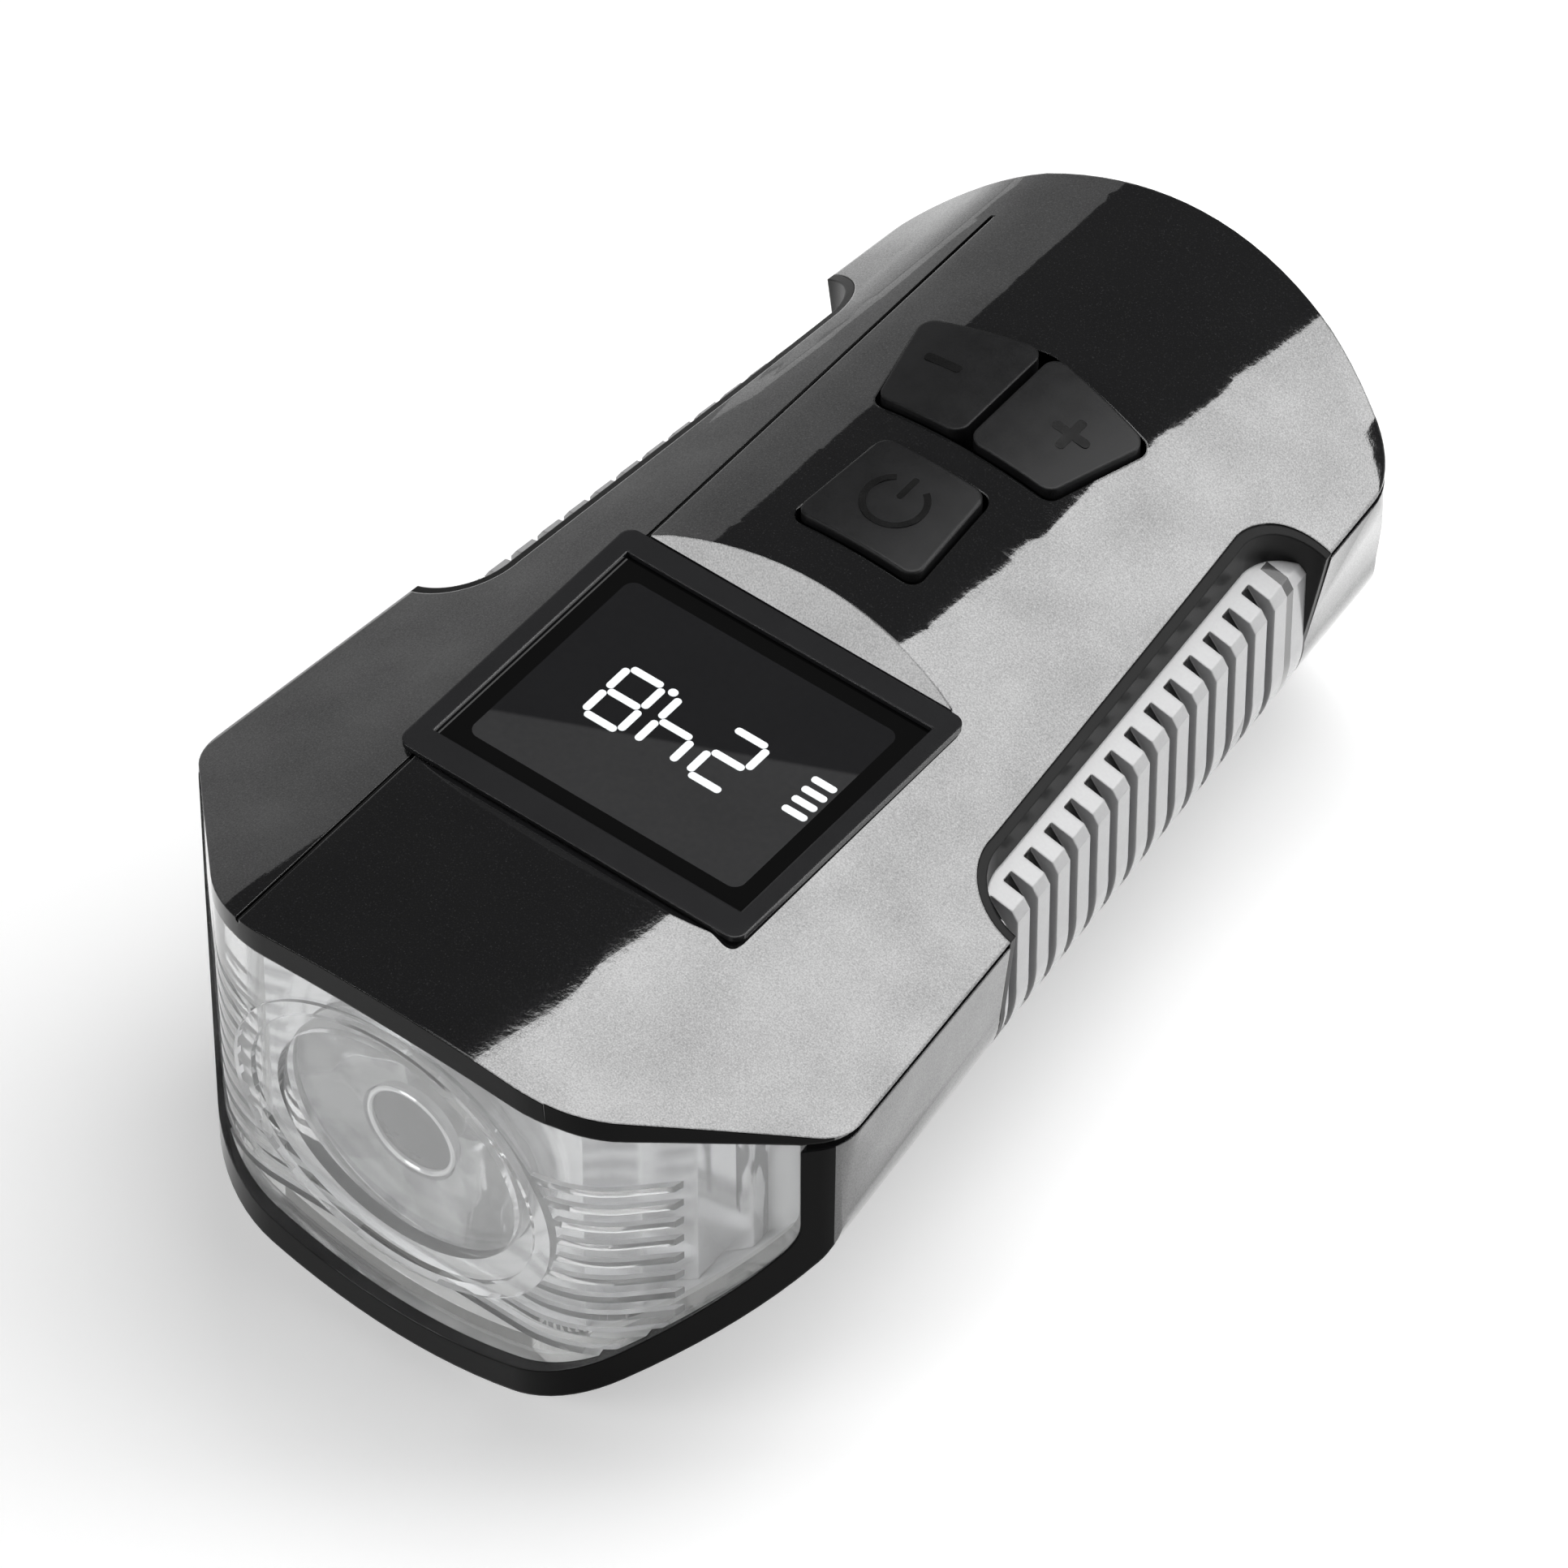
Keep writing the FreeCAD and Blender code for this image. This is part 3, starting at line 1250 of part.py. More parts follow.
def hornParts():
    face = "fit.channelRear - size.speakerRingThick"
    centre = ("0", face, "fit.speakerHeight")
    ring = cylinder("horn_ring", "size.speakerRadius", "size.speakerRingThick", centre, across)
    inner = "size.speakerRadius - size.speakerRingWidth"
    hole = cylinder("horn_hole", inner, "size.speakerRingThick", centre, across)
    keep(cut("horn_seal", ring, hole), "speaker_gasket")
    disc = cylinder("horn_disc", "size.speakerRadius", "size.speakerThick",
                    ("0", face + " - size.speakerThick", "fit.speakerHeight"), across)
    cap = cylinder("horn_cap", "size.speakerCapRadius", "size.speakerCapThick",
                   ("0", face + " - size.speakerThick - size.speakerCapThick", "fit.speakerHeight"), across)
    keep(union("horn", [disc, cap]), "horn_speaker")


def chargeSocket():
    board = box("charge", ("-size.chargeHalf", "fit.chargeFront", "fit.chargeLow"),
                ("size.chargeHalf", "fit.channelRear", "fit.chargeLow + size.chargeThick"))
    keep(board, "charge_board")
    front = "fit.portFace - size.portDepth"
    wall = "size.portWall"

    def portBox(name, inset, rise, start, end):
        half = "(size.portHalf - (%s))" % inset
        return box(name, ("-" + half, start, "fit.portHeight - (%s)" % rise),
                   (half, end, "fit.portHeight + (%s)" % rise))

    shell = portBox("socket", "0", "size.portTall / 2", front, "fit.portFace")
    room = portBox("socket_room", wall, "size.portTall / 2 - " + wall, front + " + size.portBack",
                   "fit.portFace")
    tongue = portBox("socket_tongue", "3 * " + wall, wall, front + " + size.portBack - " + wall,
                     "fit.portFace - size.tongueSink")
    keep(union("port", [cut("socket_shell", shell, room), tongue]), "usb_socket")


def portCover():
    # a flap with a round bead along its lower edge, where it folds, and a plug on its inner side
    body = newBody("cover")
    bead = "(size.coverThick / 2)"
    inner = "(fit.portFace + size.coverGap)"
    outer = "(%s + size.coverThick)" % inner
    fold = "(fit.portHeight - size.coverTall / 2 + %s)" % bead
    top = "(fit.portHeight + size.coverTall / 2)"
    sketch = sketchOn(body, "side", "YZ_Plane")
    outline(sketch, [(inner, fold), (outer, fold), (outer, top), (inner, top)],
            {0: bead + " + size.beadSlack"})
    pad(body, sketch, "2 * size.coverHalf", midplane=True)
    sketch = sketchOn(body, "plug", "XZ_Plane", "-" + inner)
    rise = "size.coverPlugTall / 2"
    rectangle(sketch, "-size.coverPlugHalf", "size.coverPlugHalf", "fit.portHeight - " + rise,
              "fit.portHeight + " + rise)
    pad(body, sketch, "size.coverPlug")
    return keep(body, "port_cover")


# Grips


def recessRegion(name, smaller, low, high):
    body = newBody(name)
    corners = recessCorners("0", smaller)
    out = "size.gripDepth"
    sketch = sketchOn(body, "recess", "XY_Plane", low)
    outline(sketch, corners + [("%s + %s" % (corners[3][0], out), corners[3][1]),
                               ("%s + %s" % (corners[0][0], out), corners[0][1])],
            {0: "-(%s)" % recessRadius(smaller), 2: "-(%s)" % recessRadius(smaller)})
    pad(body, sketch, "(%s) - (%s)" % (high, low))
    return body


def gripBorder():
    outer = recessRegion("border_outer", "0", "fit.seamTop + size.borderLow", "fit.crownRear")
    inner = recessRegion("border_inner", "size.borderWidth", "0", "2 * fit.crownRear")
    strip = cut("border_strip", outer, inner)
    upper = newBody("border_top")
    topLoft(upper, "section", "-size.borderDrop")
    lower = newBody("border_low")
    bottomLoft(lower, "section", "fit.seamTop")
    return common("border", strip, union("border_envelope", [upper, lower]))


def gripPad():
    # drawn square to the side: across it, and upwards
    body = newBody("pad")
    turned = FreeCAD.Rotation(FreeCAD.Vector(0, 0, 1), number(taper()))
    body.Placement = FreeCAD.Placement(FreeCAD.Vector(0, 0, 0), turned)
    body.setExpression("Placement.Base.x", halfAt("0"))
    body.setExpression("Placement.Base.z", "fit.seamTop")
    body.setExpression("Placement.Rotation.Angle", taper())
    sketch = sketchOn(body, "section", "XZ_Plane")
    inner = "-size.gripDepth"
    side = "-size.gripSideInset"
    outline(sketch, [(inner, "size.gripFoot"), (side, "size.gripSideLow"), (side, "size.gripShoulder"),
                     ("-size.gripFlangeInset", "size.gripFlangeEdge"), (inner, "size.gripFlangeTop")],
            {0: "size.gripSideRadius"})
    pad(body, sketch, "4 * size.gripRear", midplane=True)
    sketch = sketchOn(body, "slot", "XZ_Plane", "size.ribFirst")
    deep = "(size.gripSideInset + size.ribDeep)"
    out = "size.gripDepth"
    outline(sketch, [("-%s" % deep, "size.ribSlotKnee"), ("-size.ribSlotInset", "size.ribSlotTop"),
                     ("-size.ribSlotInset", "fit.crownRear"), (out, "fit.crownRear"), (out, "size.ribLow"),
                     ("-%s" % deep, "size.ribLow")])
    slot = pocket(body, sketch, "size.ribSlot", midplane=True)
    repeat(body, [slot], "Y_Axis", "size.ribPitch", "size.ribCount")
    region = recessRegion("pad_region", "size.borderWidth", "0", "fit.crownRear")
    return common("pad_all", body, region)


def grips():
    pads = gripPad()
    keep(pads, "grip_right")
    keep(reflected("grip_left", pads), "grip_left")
    border = gripBorder()
    keep(border, "grip_border_right")
    keep(reflected("border_left", border), "grip_border_left")


# Screws and rail


def screw(name, x, y, seat, tip, radius, head, headThick):
    # the head lies on one side of the seat and the shank runs to the tip on the other side
    upwards = number(tip) > number(seat)
    low, high = (seat, tip) if upwards else (tip, seat)
    headLow = "(%s) - (%s)" % (seat, headThick) if upwards else seat
    shank = cylinder(name, radius, "(%s) - (%s)" % (high, low), (x, y, low))
    return union(name + "_solid", [shank, cylinder(name + "_head", head, headThick, (x, y, headLow))])


def railScrewPlaces():
    return (("0", "size.railScrewFront"), ("0", "size.railScrewRear"))


def screws():
    parts = []
    for i, (x, y) in enumerate(caseScrewPlaces()):
        seat = "fit.caseScrewSeatRear" if i % 2 else "fit.caseScrewSeatFront"
        parts.append(screw("case_screw", x, y, seat, "fit.caseScrewTop", "size.caseScrewRadius",
                           "size.caseScrewHead", "size.caseScrewHeadThick"))
    keep(apart("case_all", parts), "case_screws")
    parts = []
    for x, y in railScrewPlaces():
        parts.append(screw("rail_screw", x, y, "size.railHeight - size.railFlangeThick", "fit.railScrewTop",
                           "size.railScrewRadius", "size.railScrewHead", "size.railScrewHeadThick"))
    keep(apart("rail_all", parts), "rail_screws")
    parts = []
    seat = "fit.boardLow + size.boardThick"
    for x, y in boardScrewPlaces():
        tip = seat + " - size.boardScrewLength"
        parts.append(screw("board_screw", x, y, seat, tip, "size.boardScrewRadius", "size.boardScrewHead",
                           "size.boardScrewHeadThick"))
    keep(apart("board_all", parts), "board_screws")


def mountRail():
    body = newBody("rail")
    sketch = sketchOn(body, "section", "XZ_Plane", "size.railFront")
    side = [("size.railFlangeHalf", "0"), ("size.railFlangeHalf", "size.railFlangeThick"),
            ("size.railNeckHalf", "size.railFlangeThick"), ("size.railNeckHalf", "size.railHeight")]
    outline(sketch, side + mirrored(side))
    pad(body, sketch, "size.railFront + size.railRear", backwards=True)
    sketch = sketchOn(body, "latchNotch", "XY_Plane")
    rectangle(sketch, "-size.railNotchHalf", "size.railNotchHalf", "-size.railNotchFront",
              "-size.railNotchFront + size.railNotchLength")
    pocket(body, sketch, "size.railNotchDeep", backwards=True)
    seat = "size.railHeight - size.railFlangeThick"
    bores(body, "screwBores", railScrewPlaces(), "size.railScrewRadius + size.fitGap", "0", "size.railHeight")
    bores(body, "screwHeads", railScrewPlaces(), "size.railScrewHead + size.fitGap", "0", seat)
    return keep(body, "mount_rail")


for build in (topShell, bottomShell, shellSeal, frontLens, lensSeal, lensTray, reflector, collimator,
              lampBoard, lampChip, heatSink, displayBezel, displayStack, keys, keypadSheet, switchBodies,
              mainBoard, boardParts, batteryParts, hornParts, chargeSocket, portCover, grips, screws,
              mountRail):
    build()
doc.recompute()

for item in doc.Objects:
    if "Invalid" in item.State or "Error" in item.State:
        raise RuntimeError("not built: " + item.Name)

os.makedirs("parts", exist_ok=True)
for name, item in nodes.items():
    shape = item.Shape
    if shape.isNull() or not shape.isValid():
        raise RuntimeError("bad shape: " + name)
    shape.exportStep("parts/%s.step" % name)
    print(name, len(shape.Solids), round(shape.Volume, 1))
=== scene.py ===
import bpy
import bmesh
import json
import math
from mathutils import Matrix, Vector
from mathutils.bvhtree import BVHTree


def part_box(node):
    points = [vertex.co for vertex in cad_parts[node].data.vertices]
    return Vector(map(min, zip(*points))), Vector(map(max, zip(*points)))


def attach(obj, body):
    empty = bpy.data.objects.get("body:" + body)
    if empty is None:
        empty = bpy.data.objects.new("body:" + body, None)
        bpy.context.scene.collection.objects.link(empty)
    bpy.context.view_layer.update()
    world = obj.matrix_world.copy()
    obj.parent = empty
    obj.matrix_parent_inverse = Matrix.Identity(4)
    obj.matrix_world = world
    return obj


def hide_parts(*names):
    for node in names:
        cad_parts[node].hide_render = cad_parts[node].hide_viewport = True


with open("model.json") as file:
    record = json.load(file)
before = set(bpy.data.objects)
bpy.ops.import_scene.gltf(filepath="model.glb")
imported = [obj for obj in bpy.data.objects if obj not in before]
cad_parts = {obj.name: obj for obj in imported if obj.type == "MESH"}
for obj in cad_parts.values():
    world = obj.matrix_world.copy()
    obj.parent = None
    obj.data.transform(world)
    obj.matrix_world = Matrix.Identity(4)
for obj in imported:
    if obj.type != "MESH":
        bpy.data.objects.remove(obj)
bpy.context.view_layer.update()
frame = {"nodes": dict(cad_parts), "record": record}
nodes = frame["nodes"]
slots = {entry["node"]: entry["material_slot"] for entry in frame["record"]["subparts"]}
mm = 0.001
print("frame loaded:", len(nodes), "nodes")

# Shared effects. Grain sizes and depths are given in millimetres.


def startGroup(name, inputs, outputs):
    tree = bpy.data.node_groups.new(name, "ShaderNodeTree")
    for label, kind, value in inputs:
        tree.interface.new_socket(name=label, in_out="INPUT", socket_type=kind).default_value = value
    for label, kind in outputs:
        tree.interface.new_socket(name=label, in_out="OUTPUT", socket_type=kind)
    return tree, tree.nodes.new("NodeGroupInput"), tree.nodes.new("NodeGroupOutput")


def addNode(tree, kind, **values):
    item = tree.nodes.new(kind)
    for name, value in values.items():
        setattr(item, name, value)
    return item


def addMath(tree, operation, first, second):
    # a math node whose two sides are sockets or plain numbers
    item = addNode(tree, "ShaderNodeMath", operation=operation)
    for socket, side in zip(item.inputs, (first, second)):
        if isinstance(side, (int, float)):
            socket.default_value = side
        else:
            tree.links.new(side, socket)
    return item.outputs[0]


def addNoise(tree, size, stretch=(1.0, 1.0, 1.0), detail=2.0):
    # noise on the object's own coordinates; size is the lumps' width in millimetres, a socket or a number
    place = addNode(tree, "ShaderNodeTexCoord").outputs["Object"]
    turn = addNode(tree, "ShaderNodeMapping")
    turn.inputs["Scale"].default_value = [share / mm for share in stretch]
    tree.links.new(place, turn.inputs["Vector"])
    item = addNode(tree, "ShaderNodeTexNoise")
    item.inputs["Detail"].default_value = detail
    tree.links.new(turn.outputs["Vector"], item.inputs["Vector"])
    tree.links.new(addMath(tree, "DIVIDE", 1.0, size), item.inputs["Scale"])
    return item.outputs["Fac"]


def absolute(tree, socket):
    return addMath(tree, "ABSOLUTE", socket, 0.0)


def softStep(tree, socket, low, high):
    # none below low, one above high, and a smooth rise between them
    item = addNode(tree, "ShaderNodeMapRange", interpolation_type="SMOOTHSTEP")
    item.inputs["From Min"].default_value = low
    item.inputs["From Max"].default_value = high
    tree.links.new(socket, item.inputs["Value"])
    return item.outputs["Result"]


def mixColors(tree, mask, first, second):
    # the second side where the mask is one; a side is a colour or a socket
    mix = addNode(tree, "ShaderNodeMix", data_type="RGBA")
    tree.links.new(mask, mix.inputs["Factor"])
    for socket, side in ((mix.inputs[6], first), (mix.inputs[7], second)):  # the node's colours A and B
        if isinstance(side, tuple):
            socket.default_value = (*side, 1.0)
        else:
            tree.links.new(side, socket)
    return mix.outputs[2]


def splitPlace(tree):
    # x, y and z on the object's own coordinates
    split = addNode(tree, "ShaderNodeSeparateXYZ")
    tree.links.new(addNode(tree, "ShaderNodeTexCoord").outputs["Object"], split.inputs[0])
    return split


grainShape = {"broad": 14.0, "broadDetail": 3.0}


def buildGrain(name, stretch, shape):
    # moulding or brushing grain: colour, gloss and height vary together, on top of broad soft lumps
    tree, start, end = startGroup(name, (
        ("Color", "NodeSocketColor", (0.5, 0.5, 0.5, 1.0)), ("Spread", "NodeSocketFloat", 0.1),
        ("Roughness", "NodeSocketFloat", 0.4), ("Grain", "NodeSocketFloat", 0.3)),
        (("Color", "NodeSocketColor"), ("Roughness", "NodeSocketFloat"), ("Height", "NodeSocketFloat")))
    fine = addNoise(tree, start.outputs["Grain"], stretch)
    width = addMath(tree, "MULTIPLY", start.outputs["Grain"], shape["broad"])
    broad = addNoise(tree, width, detail=shape["broadDetail"])
    both = addMath(tree, "ADD", fine, broad)
    swing = addMath(tree, "MULTIPLY", addMath(tree, "SUBTRACT", both, 1.0), 2.0)
    share = addMath(tree, "ADD", addMath(tree, "MULTIPLY", swing, start.outputs["Spread"]), 1.0)
    tint = addNode(tree, "ShaderNodeVectorMath", operation="SCALE")
    tree.links.new(start.outputs["Color"], tint.inputs[0])
    tree.links.new(share, tint.inputs["Scale"])
    tree.links.new(tint.outputs[0], end.inputs["Color"])
    tree.links.new(addMath(tree, "MULTIPLY", share, start.outputs["Roughness"]), end.inputs["Roughness"])
    tree.links.new(fine, end.inputs["Height"])
    return tree


grains = {"mould": buildGrain("mouldGrain", (1.0, 1.0, 1.0), grainShape),
          "brush": buildGrain("brushGrain", (0.12, 1.0, 1.0), grainShape)}

flakeShape = {"speckLow": 0.6, "speckHigh": 0.8, "roughSwing": 0.8, "roughBase": 0.6, "speckHeight": 0.3,
              "cloud": 55.0, "glossSpeck": 1.6, "glossCloud": 0.9, "glossLevel": 0.6}


def buildFlake(shape):
    # tiny bright flakes in a dark moulding, soft clouds in its gloss, and the slight ripple of its surface
    tree, start, end = startGroup("paintFlake", (
        ("Dark", "NodeSocketColor", (0.01, 0.01, 0.01, 1.0)),
        ("Flake", "NodeSocketColor", (0.05, 0.05, 0.05, 1.0)), ("Grain", "NodeSocketFloat", 0.1),
        ("Ripple", "NodeSocketFloat", 0.8), ("Roughness", "NodeSocketFloat", 0.1)),
        (("Color", "NodeSocketColor"), ("Roughness", "NodeSocketFloat"), ("Gloss", "NodeSocketFloat"),
         ("Height", "NodeSocketFloat")))
    speck = addNoise(tree, start.outputs["Grain"], detail=1.0)
    mask = softStep(tree, speck, shape["speckLow"], shape["speckHigh"])
    color = mixColors(tree, mask, start.outputs["Dark"], start.outputs["Flake"])
    tree.links.new(color, end.inputs["Color"])
    ripple = addNoise(tree, start.outputs["Ripple"], detail=1.0)
    swing = addMath(tree, "ADD", addMath(tree, "MULTIPLY", speck, shape["roughSwing"]), shape["roughBase"])
    tree.links.new(addMath(tree, "MULTIPLY", swing, start.outputs["Roughness"]), end.inputs["Roughness"])
    height = addMath(tree, "ADD", ripple, addMath(tree, "MULTIPLY", speck, shape["speckHeight"]))
    tree.links.new(height, end.inputs["Height"])
    clouds = addNoise(tree, addMath(tree, "MULTIPLY", start.outputs["Grain"], shape["cloud"]), detail=2.0)
    gloss = addMath(tree, "ADD", addMath(tree, "MULTIPLY", speck, shape["glossSpeck"]),
                    addMath(tree, "MULTIPLY", clouds, shape["glossCloud"]))
    gloss = addMath(tree, "MAXIMUM", addMath(tree, "SUBTRACT", gloss, shape["glossLevel"]), 0.0)
    tree.links.new(addMath(tree, "MINIMUM", gloss, 1.0), end.inputs["Gloss"])
    return tree


flake = buildFlake(flakeShape)


def startMaterial(name, **values):
    # a material whose constant values sit on the shader's own sockets
    material = bpy.data.materials.new(name)
    material.use_nodes = True
    main = material.node_tree.nodes["Principled BSDF"]
    for label, value in values.items():
        socket = main.inputs[label.replace("_", " ")]
        socket.default_value = (*value, 1.0) if isinstance(value, tuple) else value
    return material, material.node_tree, main


def placeGroup(tree, group, **values):
    item = addNode(tree, "ShaderNodeGroup", node_tree=group)
    for label, value in values.items():
        item.inputs[label].default_value = (*value, 1.0) if isinstance(value, tuple) else value
    return item


def addBump(tree, main, height, depth, rounding=None):
    # depth in millimetres; rounding softens the normal along edges by that many millimetres
    item = addNode(tree, "ShaderNodeBump")
    item.inputs["Distance"].default_value = depth * mm
    tree.links.new(height, item.inputs["Height"])
    if rounding:
        edge = addNode(tree, "ShaderNodeBevel", samples=6)
        edge.inputs["Radius"].default_value = rounding * mm
        tree.links.new(edge.outputs["Normal"], item.inputs["Normal"])
    tree.links.new(item.outputs["Normal"], main.inputs["Normal"])


def feedMain(tree, main, group, depth, rounding=None):
    # a group's colour, gloss and height into the shader
    tree.links.new(group.outputs["Color"], main.inputs["Base Color"])
    tree.links.new(group.outputs["Roughness"], main.inputs["Roughness"])
    addBump(tree, main, group.outputs["Height"], depth, rounding)


def plain(name, color, roughness, grain=0.3, depth=0.004, spread=0.1, style="mould", rounding=None, **values):
    # a moulded, rubber or metal finish with its grain
    material, tree, main = startMaterial(name, **values)
    group = placeGroup(tree, grains[style], Color=color, Spread=spread, Roughness=roughness, Grain=grain)
    feedMain(tree, main, group, depth, rounding)
    return material


# shade is the colour of the painted shade on the lips round the lens and in the left panel line; lipFacing,
# levelFacing and the line sizes place it
shellLook = {"dark": (0.0085, 0.0085, 0.009), "flake": (0.03, 0.03, 0.031), "grain": 0.12, "ripple": 0.6,
             "roughness": 0.032, "depth": 0.0016, "ior": 1.62, "coatIor": 1.62, "coat": 1.0,
             "coatRoughness": 0.012, "rounding": 0.2, "shade": (0.004, 0.004, 0.004), "lipFacing": -0.45,
             "levelFacing": 0.5, "lineX": 13.4, "lineWidth": 0.4, "lineLow": 30.0, "lineEnd": 39.2}
lowerLook = dict(shellLook, roughness=0.1, coat=0.8)


def paintedShadeMask(tree, look):
    # painted shade: one on the lips round the lens and inside the left panel line, which are painted dull
    # black as if in shadow
    facing = addNode(tree, "ShaderNodeSeparateXYZ")
    tree.links.new(addNode(tree, "ShaderNodeNewGeometry").outputs["True Normal"], facing.inputs[0])
    level = addMath(tree, "LESS_THAN", absolute(tree, facing.outputs["Z"]), look["levelFacing"])
    lip = addMath(tree, "MULTIPLY", addMath(tree, "LESS_THAN", facing.outputs["Y"], look["lipFacing"]), level)
    place = splitPlace(tree)
    aside = addMath(tree, "SUBTRACT", absolute(tree, place.outputs["X"]), look["lineX"] * mm)
    line = addMath(tree, "LESS_THAN", absolute(tree, aside), look["lineWidth"] / 2 * mm)
    for limit in (addMath(tree, "GREATER_THAN", place.outputs["Z"], look["lineLow"] * mm),
                  addMath(tree, "LESS_THAN", place.outputs["Y"], look["lineEnd"] * mm),
                  addMath(tree, "LESS_THAN", place.outputs["X"], 0.0)):
        line = addMath(tree, "MULTIPLY", line, limit)
    return addMath(tree, "MAXIMUM", lip, line)


def shellGloss(name, look):
    # gloss black moulding with fine flakes, and painted shade: dull black, uncoated lips round the lens and
    # left panel line where the mask is one
    material, tree, main = startMaterial(name, IOR=look["ior"], Coat_Roughness=look["coatRoughness"],
                                         Coat_IOR=look["coatIor"])
    group = placeGroup(tree, flake, Dark=look["dark"], Flake=look["flake"], Grain=look["grain"],
                       Ripple=look["ripple"], Roughness=look["roughness"])
    # painted shade: the lips round the lens and the left panel line turn dull black with no coat
    mask = paintedShadeMask(tree, look)
    tree.links.new(mask, main.inputs["Metallic"])
    color = mixColors(tree, mask, group.outputs["Color"], look["shade"])
    tree.links.new(color, main.inputs["Base Color"])
    tree.links.new(group.outputs["Roughness"], main.inputs["Roughness"])
    clean = addMath(tree, "MULTIPLY", addMath(tree, "SUBTRACT", 1.0, mask), look["coat"])
    tree.links.new(addMath(tree, "MULTIPLY", clean, group.outputs["Gloss"]), main.inputs["Coat Weight"])
    addBump(tree, main, group.outputs["Height"], look["depth"], look["rounding"])
    return material


# front and rear are a painted reflection on the window: lighter in front of a slanted line, darker behind it
screenLook = {"front": (0.04, 0.04, 0.041), "rear": (0.013, 0.013, 0.014), "frame": (0.002, 0.002, 0.002),
              "slope": 0.46, "cut": -14.6, "edge": 0.25, "border": 1.5, "corner": 0.9, "coat": 0.5,
              "coatRoughness": 0.02, "spread": 0.1, "roughness": 0.06, "grain": 0.5, "depth": 0.0004}


def boxMask(tree, split, node, inset, corner):
    # one inside a rounded rectangle set into a node's box, none outside it
    low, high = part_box(node)
    away = []
    for axis, label in enumerate("XY"):
        middle = (low[axis] + high[axis]) / 2
        half = (high[axis] - low[axis]) / 2 / mm - inset - corner
        offset = absolute(tree, addMath(tree, "SUBTRACT", split.outputs[label], middle))
        past = addMath(tree, "SUBTRACT", addMath(tree, "DIVIDE", offset, mm), half)
        away.append(addMath(tree, "POWER", addMath(tree, "MAXIMUM", past, 0.0), 2.0))
    return addMath(tree, "LESS_THAN", addMath(tree, "ADD", *away), corner * corner)


def screenGlass(name, look):
    # smoked window with a painted reflection: a lighter wedge in front, a darker one behind, and a black
    # frame round both
    material, tree, main = startMaterial(name, Coat_Weight=look["coat"], Coat_Roughness=look["coatRoughness"])
    split = splitPlace(tree)
    # painted reflection: a slanted line splits the window into a lighter front and a darker rear
    along = addMath(tree, "MULTIPLY", split.outputs["X"], -look["slope"] / mm)
    place = addMath(tree, "ADD", addMath(tree, "MULTIPLY", split.outputs["Y"], 1.0 / mm), along)
    mask = softStep(tree, place, look["cut"] - look["edge"], look["cut"] + look["edge"])
    paintedGlare = mixColors(tree, mask, look["front"], look["rear"])
    lit = boxMask(tree, split, "display_window", look["border"], look["corner"])
    group = placeGroup(tree, grains["mould"], Spread=look["spread"], Roughness=look["roughness"],
                       Grain=look["grain"])
    tree.links.new(mixColors(tree, lit, look["frame"], paintedGlare), group.inputs["Color"])
    feedMain(tree, main, group, look["depth"])
    return material


# slot is the colour of the painted shade in the slots between the ribs
gripLook = {"rib": (0.4, 0.4, 0.405), "slot": (0.006, 0.006, 0.006), "pitch": 2.66, "first": -8.3,
            "slotWidth": 0.9, "slotInset": 3.65, "taper": 5.71, "sideX": 25.5, "roughness": 0.22, "coat": 0.7,
            "coatRoughness": 0.08, "spread": 0.06, "grain": 0.22, "depth": 0.002, "rounding": 0.25}


def gripRubber(name, look):
    # pale ribs with painted shade between them: the slots are coloured black, in step with the ribs along the
    # tapered side
    material, tree, main = startMaterial(name, Coat_Weight=look["coat"], Coat_Roughness=look["coatRoughness"])
    split = splitPlace(tree)
    sine = math.sin(math.radians(look["taper"])) / mm
    cosine = math.cos(math.radians(look["taper"])) / mm
    right = addMath(tree, "SUBTRACT", absolute(tree, split.outputs["X"]), look["sideX"] * mm)
    along = addMath(tree, "SUBTRACT", addMath(tree, "MULTIPLY", split.outputs["Y"], cosine),
                    addMath(tree, "MULTIPLY", right, sine))
    across = addMath(tree, "ADD", addMath(tree, "MULTIPLY", split.outputs["Y"], sine),
                     addMath(tree, "MULTIPLY", right, cosine))
    near = addMath(tree, "PINGPONG", addMath(tree, "SUBTRACT", along, look["first"]), look["pitch"] / 2)
    # painted shade: the slots between the ribs are coloured black
    slot = addMath(tree, "LESS_THAN", near, look["slotWidth"] / 2)
    slot = addMath(tree, "MULTIPLY", slot, addMath(tree, "GREATER_THAN", across, -look["slotInset"]))
    group = placeGroup(tree, grains["mould"], Spread=look["spread"], Roughness=look["roughness"],
                       Grain=look["grain"])
    tree.links.new(mixColors(tree, slot, look["rib"], look["slot"]), group.inputs["Color"])
    feedMain(tree, main, group, look["depth"], look["rounding"])
    return material


clearLook = {"spread": 0.01, "grain": 0.8, "depth": 0.0006, "shadow": 0.92}
# tint is painted shade, the dark middle of the clear optic round the beam's axis
hubLook = {"height": 19.2, "radius": 4.0, "tint": (0.18, 0.18, 0.185), "shade": (0.62, 0.62, 0.63),
           "cloud": 3.6, "cloudStretch": (1.0, 0.3, 1.0), "cloudDetail": 3.0, "cloudLow": 0.42,
           "cloudHigh": 0.56}


